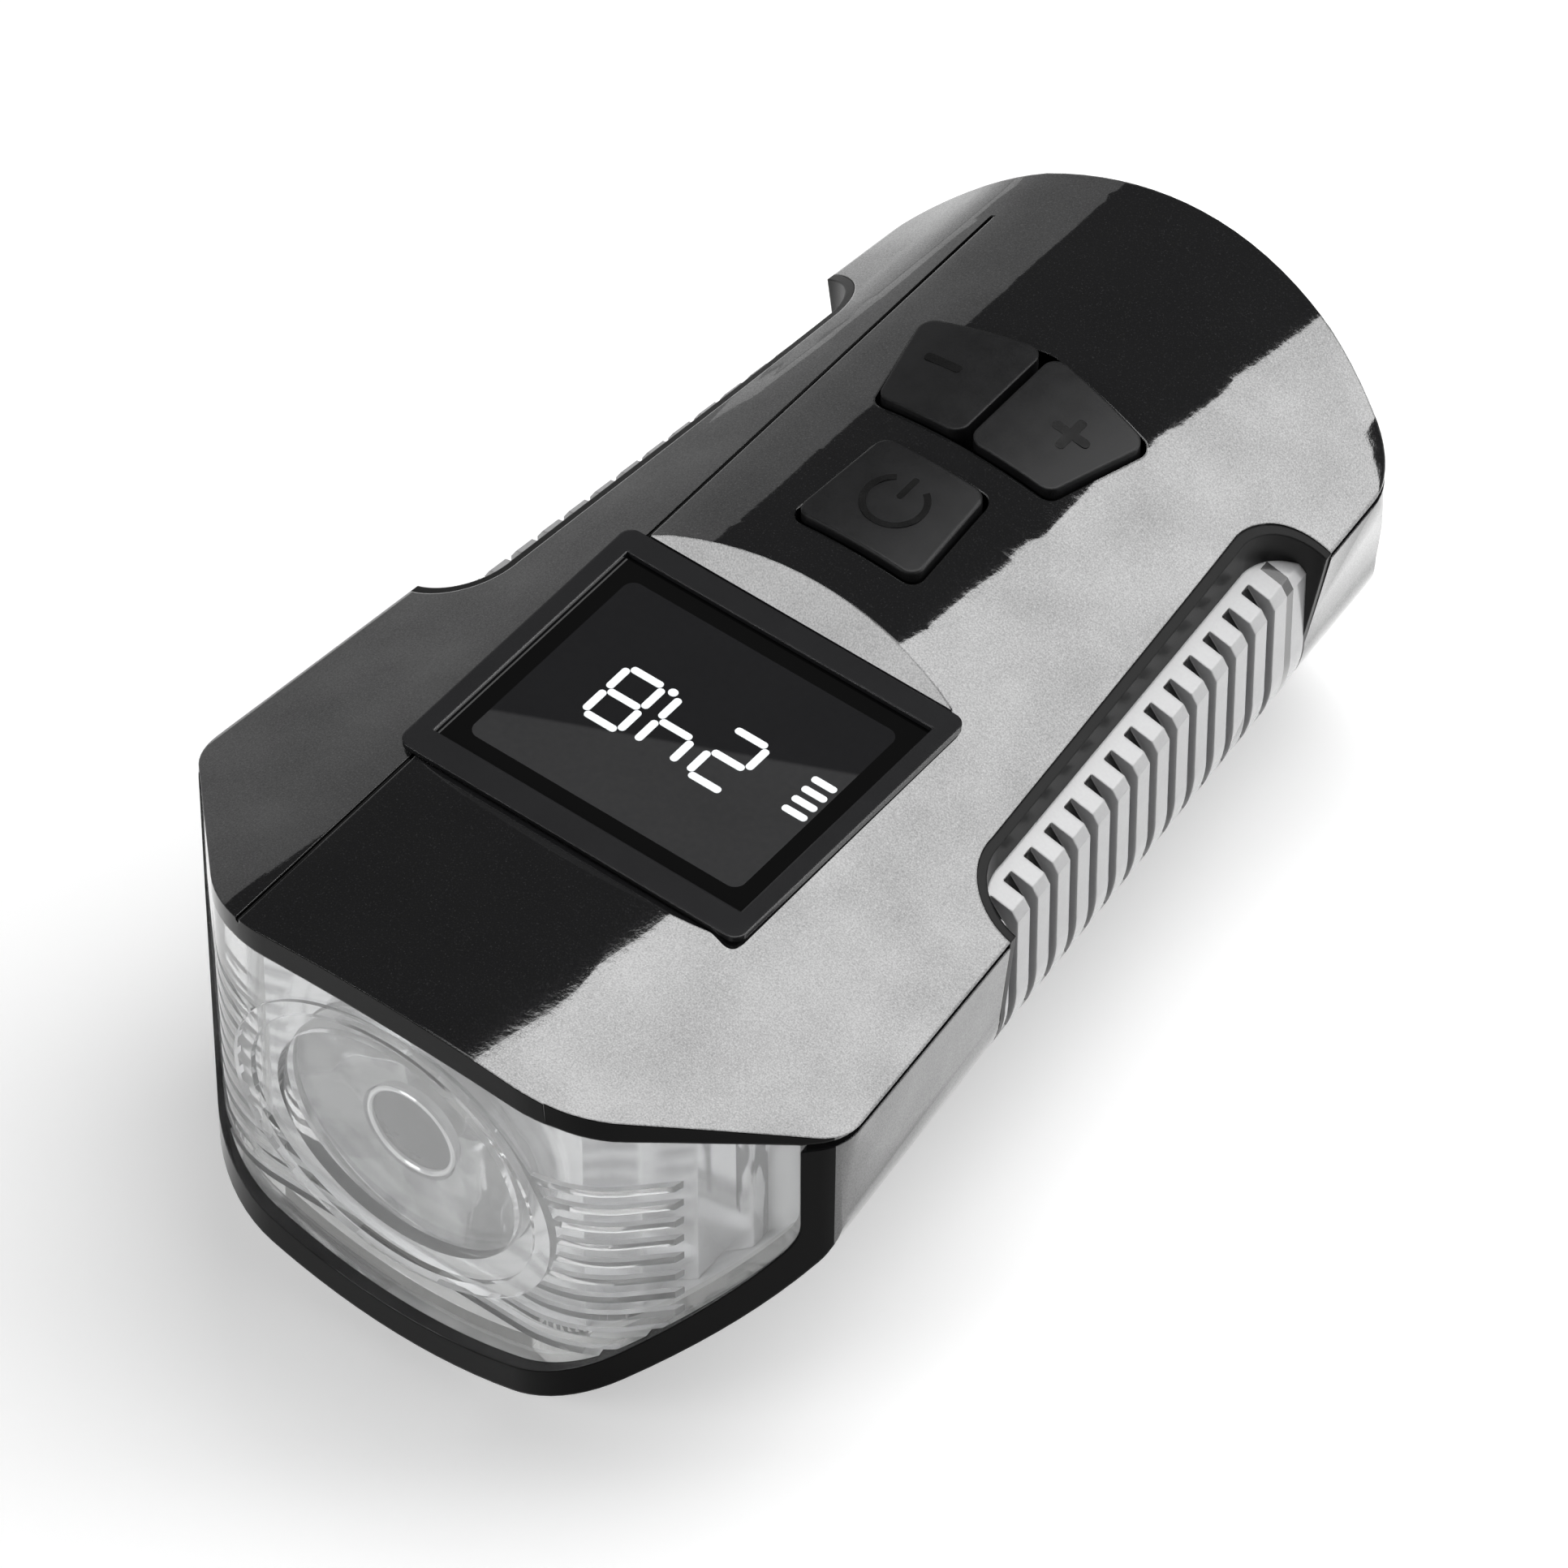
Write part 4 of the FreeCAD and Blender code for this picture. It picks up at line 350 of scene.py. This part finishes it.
def hubCloudsAndPaintedShade(tree, tint, hub):
    # soft clouds all over the optic, and painted shade: a darker middle round the beam's axis
    place = splitPlace(tree)
    up = addMath(tree, "SUBTRACT", place.outputs["Z"], hub["height"] * mm)
    away = addMath(tree, "ADD", addMath(tree, "POWER", up, 2.0),
                   addMath(tree, "POWER", place.outputs["X"], 2.0))
    inside = addMath(tree, "LESS_THAN", away, (hub["radius"] * mm) ** 2)
    noise = addNoise(tree, hub["cloud"], hub["cloudStretch"], hub["cloudDetail"])
    cloud = softStep(tree, noise, hub["cloudLow"], hub["cloudHigh"])
    tint = mixColors(tree, cloud, hub["shade"], tint)
    # painted shade: the middle round the beam's axis is darkened
    return mixColors(tree, inside, tint, hub["tint"])


def clearPlastic(name, color, roughness, clear, ior, hub=None):
    # clear moulding that lets the lamps' light through to what lies behind it
    look = clearLook
    material, tree, main = startMaterial(name, Transmission_Weight=clear, IOR=ior)
    group = placeGroup(tree, grains["mould"], Color=color, Spread=look["spread"], Roughness=roughness,
                       Grain=look["grain"])
    tint = hubCloudsAndPaintedShade(tree, group.outputs["Color"], hub) if hub else group.outputs["Color"]
    tree.links.new(tint, main.inputs["Base Color"])
    tree.links.new(group.outputs["Roughness"], main.inputs["Roughness"])
    shade = addNode(tree, "ShaderNodeLightPath").outputs["Is Shadow Ray"]
    solid = addMath(tree, "SUBTRACT", 1.0, addMath(tree, "MULTIPLY", shade, look["shadow"]))
    tree.links.new(solid, main.inputs["Alpha"])
    addBump(tree, main, group.outputs["Height"], look["depth"])
    return material


# dark and streak make a painted reflection: upright dark streaks on the stepped ends past start
reflectorLook = {"bright": (0.93, 0.93, 0.94), "dark": (0.16, 0.16, 0.165), "start": 20.2, "paintedStreak": 1.5,
                 "stretch": (1.0, 1.0, 0.22), "detail": 3.0, "low": 0.44, "high": 0.52, "metallic": 0.8,
                 "spread": 0.04, "roughness": 0.14, "grain": 0.6, "depth": 0.003}


def reflectorChrome(name, look):
    # bright plating, with painted reflections: upright dark streaks painted on the stepped ends
    material, tree, main = startMaterial(name, Metallic=look["metallic"])
    # painted reflection: dark streaks on the plating of the stepped ends
    noise = addNoise(tree, look["paintedStreak"], look["stretch"], look["detail"])
    paintedStreak = softStep(tree, noise, look["low"], look["high"])
    side = absolute(tree, splitPlace(tree).outputs["X"])
    ends = addMath(tree, "GREATER_THAN", side, look["start"] * mm)
    mask = addMath(tree, "MULTIPLY", addMath(tree, "SUBTRACT", 1.0, paintedStreak), ends)
    group = placeGroup(tree, grains["mould"], Spread=look["spread"], Roughness=look["roughness"],
                       Grain=look["grain"])
    tree.links.new(mixColors(tree, mask, look["bright"], look["dark"]), group.inputs["Color"])
    feedMain(tree, main, group, look["depth"])
    return material


# each finish: its name, colour and roughness, and then what differs from the usual moulding
metal = {"Metallic": 1.0, "style": "brush"}
looks = {
    "shell_black": shellGloss("shellGloss", shellLook),
    "seal_black": plain("sealRubber", (0.012, 0.012, 0.012), 0.6),
    "seal_pale": plain("sealSilicone", (0.62, 0.62, 0.61), 0.5),
    "clear_lens": clearPlastic("lensClear", (0.97, 0.975, 0.975), 0.03, clear=0.84, ior=1.32),
    "tray_bright": plain("traySatin", (0.86, 0.865, 0.87), 0.32, grain=0.6, spread=0.05, Metallic=0.35),
    "reflector_bright": reflectorChrome("reflectorChrome", reflectorLook),
    "optic_clear": clearPlastic("opticClear", (0.97, 0.975, 0.975), 0.03, clear=0.86, ior=1.42, hub=hubLook),
    "lamp_chip": plain("lampPhosphor", (0.85, 0.68, 0.18), 0.35, grain=0.08),
    "lamp_board": plain("lampBoardWhite", (0.82, 0.83, 0.83), 0.45),
    "sink_metal": plain("sinkAluminium", (0.62, 0.63, 0.64), 0.35, grain=0.4, depth=0.006, **metal),
    "bezel_black": plain("bezelGloss", (0.018, 0.018, 0.019), 0.16, grain=0.2, depth=0.001, rounding=0.2,
                         Coat_Weight=0.7),
    "window_dark": screenGlass("screenGlass", screenLook),
    "panel_dark": plain("panelDark", (0.02, 0.02, 0.021), 0.2),
    "guide_white": plain("guideWhite", (0.82, 0.82, 0.81), 0.5),
    "key_black": plain("keyRubber", (0.009, 0.009, 0.0095), 0.38, grain=0.14, spread=0.22, rounding=0.25,
                       IOR=1.36),
    "plunger_grey": plain("plungerGrey", (0.3, 0.3, 0.31), 0.5),
    "sheet_grey": plain("sheetSilicone", (0.3, 0.31, 0.32), 0.6),
    "switch_metal": plain("switchSteel", (0.62, 0.62, 0.6), 0.3, **metal),
    "board_green": plain("boardGreen", (0.015, 0.12, 0.05), 0.35, grain=0.5, depth=0.006, spread=0.2),
    "chip_black": plain("chipBlack", (0.022, 0.022, 0.022), 0.42, grain=0.1),
    "cell_wrap": plain("cellWrap", (0.03, 0.16, 0.4), 0.28),
    "cradle_dark": plain("cradleDark", (0.08, 0.08, 0.085), 0.5),
    "tab_nickel": plain("tabNickel", (0.7, 0.69, 0.64), 0.25, **metal),
    "horn_dark": plain("hornDark", (0.03, 0.03, 0.03), 0.5),
    "socket_metal": plain("socketSteel", (0.66, 0.66, 0.65), 0.25, **metal),
    "cover_rubber": plain("coverRubber", (0.02, 0.02, 0.02), 0.6, grain=0.2, depth=0.006, rounding=0.2),
    "grip_grey": gripRubber("gripRubber", gripLook),
    "border_black": plain("borderBlack", (0.005, 0.005, 0.005), 0.3, grain=0.2, rounding=0.2, IOR=1.2),
    "screw_steel": plain("screwSteel", (0.5, 0.5, 0.5), 0.3, rounding=0.08, **metal),
    "rail_black": plain("railBlack", (0.02, 0.02, 0.021), 0.42, grain=0.25, depth=0.008, rounding=0.2),
}
shades = {"bottom_shell": shellGloss("shellSatin", lowerLook)}
finish = {name: shades.get(name, looks[slots[name]]) for name in nodes}
for name, item in nodes.items():
    item.data.materials.clear()
    item.data.materials.append(finish[name])
print("materials on the carried-over nodes")

# Dressed copies of the nodes that show. Angles in degrees, gaps in millimetres.

mergeGap = 0.002
flatAngle = 0.4
smoothAngles = {"shell": 9.0, "dressed": 26.0, "hub": 40.0, "mark": 30.0}


def addPiece(name, work, material, body):
    # turns a bmesh into a piece that rides on a body
    mesh = bpy.data.meshes.new(name)
    work.to_mesh(mesh)
    work.free()
    mesh.materials.clear()
    mesh.materials.append(material)
    item = bpy.data.objects.new(name, mesh)
    bpy.context.collection.objects.link(item)
    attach(item, body)
    return item


def mergeCorners(work):
    bmesh.ops.remove_doubles(work, verts=work.verts, dist=mergeGap * mm)
    bmesh.ops.dissolve_degenerate(work, edges=work.edges, dist=mergeGap * mm)


def smoothByAngle(work, limit):
    for face in work.faces:
        face.smooth = True
    for edge in work.edges:
        edge.smooth = len(edge.link_faces) == 2 and edge.calc_face_angle(0.0) < math.radians(limit)


def softenEdges(item, width, segments=2, limit=32.0):
    # a live bevel of width millimetres along the sharp edges
    bevel = item.modifiers.new("softEdge", "BEVEL")
    bevel.width = width * mm
    bevel.segments = segments
    bevel.limit_method = "ANGLE"
    bevel.angle_limit = math.radians(limit)
    bevel.harden_normals = True
    bevel.use_clamp_overlap = True


closedLine = {"node": "top_shell", "x": 13.4, "width": 0.36, "low": 32.0, "gap": 0.001, "join": 0.02,
              "facing": 0.5}


def heightAlong(chain, y):
    # height of a chain of corners, sorted by y, at a place between or beyond its ends
    before = [spot for spot in chain if spot.y <= y] or chain[:1]
    after = [spot for spot in chain if spot.y > y] or chain[-1:]
    first, last = before[-1], after[0]
    if last.y == first.y:
        return first.z
    return first.z + (last.z - first.z) * (y - first.y) / (last.y - first.y)


def splitAt(edge, stops, gap):
    # divides an edge where its line passes other corners, so that both lips get the same corners
    first, last = sorted(edge.verts, key=lambda vert: vert.co.y)
    added = []
    for spot in stops:
        if first.co.y + gap < spot.y < last.co.y - gap:
            share = (spot.y - first.co.y) / (last.co.y - first.co.y)
            first = bmesh.utils.edge_split(edge, first, share)[1]
            first.co = spot
            edge = next(side for side in first.link_edges if last in side.verts)
            added.append(first)
    return added


def openEdges(work):
    return [edge for edge in work.edges if len(edge.link_faces) == 1]


def closeLine(work, look):
    # the right panel line doesn't show: its walls go and its two lips meet halfway
    def onLine(vert):
        return abs(vert.co.x / mm - look["x"]) < look["width"] / 2 and vert.co.z > look["low"] * mm

    def alongY(spot):
        return spot.y

    walls = [face for face in work.faces if all(onLine(vert) for vert in face.verts)]
    inside = set(walls)
    rim = [vert for vert in work.verts
           if 0 < sum(face in inside for face in vert.link_faces) < len(vert.link_faces)]
    lips = [vert for vert in rim
            if any(face not in inside and face.normal.z > look["facing"] for face in vert.link_faces)]
    sides = [sorted((vert.co.copy() for vert in lips if (vert.co.x / mm > look["x"]) == right), key=alongY)
             for right in (False, True)]
    bmesh.ops.delete(work, geom=walls, context="FACES")
    for vert in rim:
        if vert in lips:
            vert.co.z = sum(heightAlong(side, vert.co.y) for side in sides) / 2
        vert.co.x = look["x"] * mm
    stops = sorted((vert.co.copy() for vert in lips), key=alongY)
    added = []
    for edge in openEdges(work):
        if all(vert in lips for vert in edge.verts):
            added += splitAt(edge, stops, look["gap"] * mm)
    bmesh.ops.remove_doubles(work, verts=rim + added, dist=look["join"] * mm)
    bmesh.ops.holes_fill(work, edges=openEdges(work), sides=0)
    print("right panel line closed:", len(stops), "corners")


def dress(node, piece, body, width=None, smooth="dressed"):
    # a smooth, merged copy of a node, with its edges rounded by width millimetres
    work = bmesh.new()
    work.from_mesh(nodes[node].data)
    mergeCorners(work)
    if node == closedLine["node"]:
        closeLine(work, closedLine)
    bmesh.ops.dissolve_limit(work, angle_limit=math.radians(flatAngle), verts=work.verts, edges=work.edges)
    smoothByAngle(work, smoothAngles[smooth])
    item = addPiece(piece, work, finish[node], body)
    custom = item.data.attributes.get("custom_normal")
    if custom:
        item.data.attributes.remove(custom)
    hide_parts(node)
    if width:
        softenEdges(item, width)


# node, piece, body, width of the soft edge, name of the smoothing angle
dressed = (
    ("top_shell", "topShell", "housing", None, "shell"),
    ("bottom_shell", "bottomShell", "housing", None),
    ("shell_seal", "shellSeal", "housing", None),
    ("front_lens", "frontLens", "housing", None),
    ("lens_tray", "lensTray", "housing", None),
    ("reflector", "reflectorCup", "housing", None),
    ("collimator", "opticCup", "housing", None),
    ("display_bezel", "displayBezel", "housing", None),
    ("display_window", "displayWindow", "housing", None),
    ("power_button", "powerKey", "power_key", 0.18),
    ("minus_button", "minusKey", "minus_key", 0.18),
    ("plus_button", "plusKey", "plus_key", 0.18),
    ("grip_left", "gripLeft", "housing", None),
    ("grip_right", "gripRight", "housing", None),
    ("grip_border_left", "gripBorderLeft", "housing", None),
    ("grip_border_right", "gripBorderRight", "housing", None),
    ("port_cover", "portCover", "cover", 0.2),
    ("mount_rail", "mountRail", "housing", 0.2),
)
for entry in dressed:
    dress(*entry)
print("dressed:", len(dressed), "pieces")

# The optic's small middle lens with its rim, set into the recess of its front face. The rim's near white is a
# painted highlight and the lens's dark grey is painted shade

hubShape = {"height": 19.2, "front": -43.45, "rim": 3.9, "rimWidth": 0.42, "rimDepth": 0.7, "rimSoft": 0.3,
            "sink": 0.35, "bulge": 0.3, "rings": 4, "steps": 72}
# painted highlight on the rim and painted shade on the middle lens
hubFinish = {
    "hubRim": plain("hubRimPaintedHighlight", (0.88, 0.885, 0.89), 0.12, grain=0.4, depth=0.001, spread=0.04,
                    Metallic=0.3, Coat_Weight=0.6),
    "hubLens": plain("hubLensPaintedShade", (0.075, 0.075, 0.078), 0.2, grain=1.0, depth=0.002, spread=0.5,
                     Coat_Weight=0.3, Coat_Roughness=0.05),
}


def turnProfile(work, profile, height, steps):
    # spins (radius, y) corners in millimetres about the beam's axis; a profile off the axis is closed
    spots = [work.verts.new(Vector((radius, y, height)) * mm) for radius, y in profile]
    ends = list(zip(spots, spots[1:]))
    if profile[0][0] > 0.0:
        ends.append((spots[-1], spots[0]))
    edges = [work.edges.new(pair) for pair in ends]
    bmesh.ops.spin(work, geom=spots + edges, cent=Vector((0.0, 0.0, height)) * mm, axis=(0.0, 1.0, 0.0),
                   angle=math.tau, steps=steps, use_merge=True)
    mergeCorners(work)
    bmesh.ops.recalc_face_normals(work, faces=work.faces)


def buildHub(shape):
    front, back, outer = shape["front"], shape["front"] + shape["rimDepth"], shape["rim"]
    inner = outer - shape["rimWidth"]
    soft = shape["rimWidth"] * shape["rimSoft"]
    rim = ((inner, back), (inner, front + soft), (inner + soft, front), (outer - soft, front),
           (outer, front + soft), (outer, back))
    shares = [ring / shape["rings"] for ring in range(shape["rings"] + 1)]
    brim = front + shape["sink"]
    rise = [(inner * share, brim - shape["bulge"] * (1.0 - share * share)) for share in shares]
    lens = (*rise, (inner, back), (0.0, back))
    for name, profile in (("hubRim", rim), ("hubLens", lens)):
        work = bmesh.new()
        turnProfile(work, profile, shape["height"], shape["steps"])
        smoothByAngle(work, smoothAngles["hub"])
        addPiece(name, work, hubFinish[name], "housing")


buildHub(hubShape)
print("optic's middle lens added")

# Marks on the keys: power ring, minus bar and plus cross, set almost flush into the faces. Each reaches from
# low, under the face it sits on, to rise above it.

markLook = {"width": 0.5, "low": -0.1, "rise": 0.03, "ringRadius": 2.3, "ringGap": 70.0, "ringSteps": 36,
            "barPlace": 1.5, "bar": 3.2, "barWidth": 0.75, "crossRise": 0.9, "join": 0.001}
markInk = plain("markBlack", (0.006, 0.006, 0.006), 0.22, grain=0.12, depth=0.003, spread=0.2)
barEnds = {"share": 0.45, "segments": 3}  # rounding of a bar's ends, as a share of its narrow side


def eachOnce(items):
    # the items in order, without repeats
    return list(dict.fromkeys(items))


def addBar(work, center, length, width, low, high, turn=0.0):
    # a straight bar with rounded ends, turned about the vertical; sizes in millimetres
    made = bmesh.ops.create_cube(work, size=1.0)["verts"]
    bmesh.ops.scale(work, vec=Vector((length, width, high - low)) * mm, verts=made)
    upright = eachOnce(edge for vert in made for edge in vert.link_edges
                       if abs(edge.verts[0].co.z - edge.verts[1].co.z) > 0.5 * (high - low) * mm)
    cut = bmesh.ops.bevel(work, geom=upright, affect="EDGES",
                          offset=barEnds["share"] * min(width, length) * mm,
                          segments=barEnds["segments"], profile=0.5, material=-1)
    kept = [vert for vert in made if vert.is_valid]
    made = eachOnce(kept + [vert for face in cut["faces"] for vert in face.verts])
    place = Matrix.Translation(Vector((center[0], center[1], (low + high) / 2)) * mm)
    bmesh.ops.transform(work, matrix=place @ Matrix.Rotation(math.radians(turn), 4, "Z"), verts=made)


def addRing(work, center, radius, width, low, high, gap, steps):
    # a ring open towards +y by gap degrees
    made = bmesh.ops.create_grid(work, x_segments=1, y_segments=1, size=0.5)["verts"]
    bmesh.ops.rotate(work, matrix=Matrix.Rotation(math.pi / 2, 3, "X"), verts=made)
    bmesh.ops.scale(work, vec=Vector((width, 1.0, high - low)) * mm, verts=made)
    middle = Vector((center[0], center[1], (low + high) / 2)) * mm
    bmesh.ops.translate(work, vec=Vector((radius * mm, 0.0, 0.0)), verts=made)
    bmesh.ops.rotate(work, matrix=Matrix.Rotation(math.radians(90 + gap / 2), 3, "Z"), verts=made)
    bmesh.ops.translate(work, vec=middle, verts=made)
    sides = [edge for vert in made for edge in vert.link_edges]
    faces = [face for vert in made for face in vert.link_faces]
    bmesh.ops.spin(work, geom=eachOnce(made + sides + faces), cent=middle, axis=(0.0, 0.0, 1.0),
                   angle=math.radians(360 - gap), steps=steps)


def keyTop(node, x, y):
    # height of the key's face at a place, in millimetres, and the way it faces
    work = bmesh.new()
    work.from_mesh(nodes[node].data)
    above = Vector((x * mm, y * mm, 2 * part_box(node)[1][2]))
    spot, normal = BVHTree.FromBMesh(work).ray_cast(above, Vector((0.0, 0.0, -1.0)))[:2]
    work.free()
    return spot.z / mm, normal


def tiltOnto(work, node, x, y):
    # lays marks drawn at z 0 onto the key's sloping face
    height, normal = keyTop(node, x, y)
    turn = Vector((0.0, 0.0, 1.0)).rotation_difference(normal).to_matrix().to_4x4()
    center = Matrix.Translation(Vector((x, y, height)) * mm)
    bmesh.ops.transform(work, matrix=center @ turn, verts=work.verts)
    bmesh.ops.recalc_face_normals(work, faces=work.faces)


def middleOf(node):
    low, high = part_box(node)
    return ((low[0] + high[0]) / 2 / mm, (low[1] + high[1]) / 2 / mm)


def buildMark(name, node, body, draw, look):
    work = bmesh.new()
    draw(work, look)
    bmesh.ops.remove_doubles(work, verts=work.verts, dist=look["join"] * mm)
    tiltOnto(work, node, *middleOf(node))
    smoothByAngle(work, smoothAngles["mark"])
    addPiece(name, work, markInk, body)


def drawPower(work, look):
    low, high = look["low"], look["rise"]
    addRing(work, (0.0, 0.0), look["ringRadius"], look["width"], low, high, look["ringGap"],
            look["ringSteps"])
    addBar(work, (0.0, look["barPlace"]), look["ringRadius"], look["width"], low, high, 90.0)


def drawMinus(work, look):
    addBar(work, (0.0, 0.0), look["bar"], look["barWidth"], look["low"], look["rise"])


def drawPlus(work, look):
    drawMinus(work, look)
    high = look["rise"] * look["crossRise"]
    addBar(work, (0.0, 0.0), look["bar"], look["barWidth"], look["low"], high, 90.0)


for label, draw in (("power", drawPower), ("minus", drawMinus), ("plus", drawPlus)):
    buildMark(label + "Mark", label + "_button", label + "_key", draw, markLook)
print("key marks added")

# Figures on the screen: a speed in seven-segment digits and four battery bars, read from behind

screenFigures = {"text": "24.8", "height": 5.2, "width": 3.1, "stroke": 0.62, "pitch": 4.6, "centerX": -0.6,
                 "centerY": -13.6, "low": -0.1, "rise": 0.03, "endGap": 0.55, "dotWidth": 0.744,
                 "dotHeight": 0.682, "bars": 4, "barLength": 2.1, "barWidth": 0.6, "barPitch": 1.1,
                 "barX": -11.2, "barLow": 0.3}
digitBars = {"0": "abcdef", "1": "bc", "2": "abged", "3": "abgcd", "4": "fgbc", "5": "afgcd", "6": "afgedc",
             "7": "abc", "8": "abcdefg", "9": "abcdfg"}
figureInk = plain("figureWhite", (0.8, 0.82, 0.82), 0.25, depth=0.001, spread=0.04,
                  Emission_Color=(0.9, 0.95, 1.0), Emission_Strength=0.25)


def addDigit(work, figure, x, look):
    # the seven bars, named a to g in the usual order, round the digit's middle
    half = look["width"] / 2
    quarter = look["height"] / 4
    places = {"a": (0.0, 2 * quarter, 0.0), "g": (0.0, 0.0, 0.0), "d": (0.0, -2 * quarter, 0.0),
              "b": (half, quarter, 90.0), "c": (half, -quarter, 90.0), "f": (-half, quarter, 90.0),
              "e": (-half, -quarter, 90.0)}
    for bar in digitBars[figure]:
        right, up, turn = places[bar]
        length = (look["width"] if turn == 0.0 else look["height"] / 2) - look["stroke"] * look["endGap"]
        addBar(work, (x + right, up), length, look["stroke"], look["low"], look["rise"], turn)


def buildFigures(look):
    work = bmesh.new()
    figures = [letter for letter in look["text"] if letter != "."]
    start = -look["pitch"] * (len(figures) - 1) / 2
    for index, figure in enumerate(figures):
        addDigit(work, figure, start + index * look["pitch"], look)
    dot = start + (look["text"].index(".") - 0.5) * look["pitch"]
    base = -look["height"] / 2
    addBar(work, (dot, base), look["dotWidth"], look["dotHeight"], look["low"], look["rise"])
    for index in range(look["bars"]):
        spot = (look["barX"], base + index * look["barPitch"] + look["barLow"])
        addBar(work, spot, look["barLength"], look["barWidth"], look["low"], look["rise"])
    turn = Matrix.Rotation(math.pi, 4, "Z")  # read from behind, where the rider looks from
    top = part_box("display_window")[1][2]
    center = Matrix.Translation(Vector((look["centerX"] * mm, look["centerY"] * mm, top)))
    bmesh.ops.transform(work, matrix=center @ turn, verts=work.verts)
    bmesh.ops.recalc_face_normals(work, faces=work.faces)
    addPiece("screenFigures", work, figureInk, "housing")


buildFigures(screenFigures)
print("screen figures added")

# Studio: floor, lights and camera

camera = {"azimuth": 38.131, "elevation": 48.204, "distance": 0.80005, "lens": 264.5, "sensor": 36.0,
          "reach": 20.0, "target": (0.0052505, -0.0089594, 0.028)}


def aim(item, spot, target):
    item.location = spot
    item.rotation_euler = (Vector(target) - Vector(spot)).to_track_quat("-Z", "Y").to_euler()


def buildCamera(look):
    data = bpy.data.cameras.new("camera")
    data.lens = look["lens"]
    data.sensor_width = look["sensor"]
    data.clip_end = look["reach"]
    item = bpy.data.objects.new("camera", data)
    bpy.context.collection.objects.link(item)
    azimuth = math.radians(look["azimuth"])
    elevation = math.radians(look["elevation"])
    back = Vector((math.sin(azimuth) * math.cos(elevation), -math.cos(azimuth) * math.cos(elevation),
                   math.sin(elevation)))
    aim(item, Vector(look["target"]) + back * look["distance"], look["target"])
    bpy.context.scene.camera = item


studio = {"floorSize": 6.0, "floor": (0.86, 0.86, 0.86), "floorLift": 0.35, "world": (0.06, 0.06, 0.06)}


def buildFloor(look):
    work = bmesh.new()
    bmesh.ops.create_grid(work, x_segments=1, y_segments=1, size=look["floorSize"] / 2)
    mesh = bpy.data.meshes.new("floor")
    work.to_mesh(mesh)
    work.free()
    item = bpy.data.objects.new("floor", mesh)
    bpy.context.collection.objects.link(item)
    material, tree, main = startMaterial("floorPale", Base_Color=look["floor"], Roughness=0.9,
                                         Specular_IOR_Level=0.1, Emission_Color=(1.0, 1.0, 1.0))
    path = addNode(tree, "ShaderNodeLightPath")
    seen = addMath(tree, "MAXIMUM", path.outputs["Is Camera Ray"], path.outputs["Is Glossy Ray"])
    seen = addMath(tree, "MAXIMUM", seen, path.outputs["Is Transmission Ray"])
    tree.links.new(addMath(tree, "MULTIPLY", seen, look["floorLift"]), main.inputs["Emission Strength"])
    mesh.materials.append(material)


def buildWorld(look):
    world = bpy.data.worlds.new("studio")
    world.use_nodes = True
    bpy.context.scene.world = world
    world.node_tree.nodes["Background"].inputs["Color"].default_value = (*look["world"], 1.0)


# each lamp: place, the point it faces, width, height, brightness of its face (white is 1), roll in degrees
lamps = {
    "topBand": ((0.147, 0.200, 0.30), (0.147, 0.200, 0.0), 0.57, 0.15, 5.4, 38.0),
    "rightBox": ((0.34, 0.22, 0.12), (0.02, 0.0, 0.02), 0.26, 0.14, 4.0, 0.0),
    "crescentBox": ((-0.20, -0.385, 0.235), (0.0, 0.0, 0.03), 0.22, 0.16, 4.8, 0.0),
    "leftBox": ((-0.42, 0.26, 0.15), (0.0, 0.0, 0.03), 0.4, 0.3, 0.4, 0.0),
    "frontBox": ((0.20, -0.62, 0.42), (0.0, 0.0, 0.02), 0.6, 0.4, 1.0, 0.0),
}


def buildLamp(name, spot, target, width, height, brightness, roll):
    data = bpy.data.lights.new(name, "AREA")
    data.shape = "RECTANGLE"
    data.size = width
    data.size_y = height
    data.energy = brightness * math.pi * width * height
    item = bpy.data.objects.new(name, data)
    bpy.context.collection.objects.link(item)
    aim(item, spot, target)
    item.rotation_euler.rotate_axis("Z", math.radians(roll))


buildWorld(studio)
buildFloor(studio)
buildCamera(camera)
for name, lamp in lamps.items():
    buildLamp(name, *lamp)
bpy.context.scene.view_settings.view_transform = "Standard"
print("studio ready:", len(lamps), "lamps")
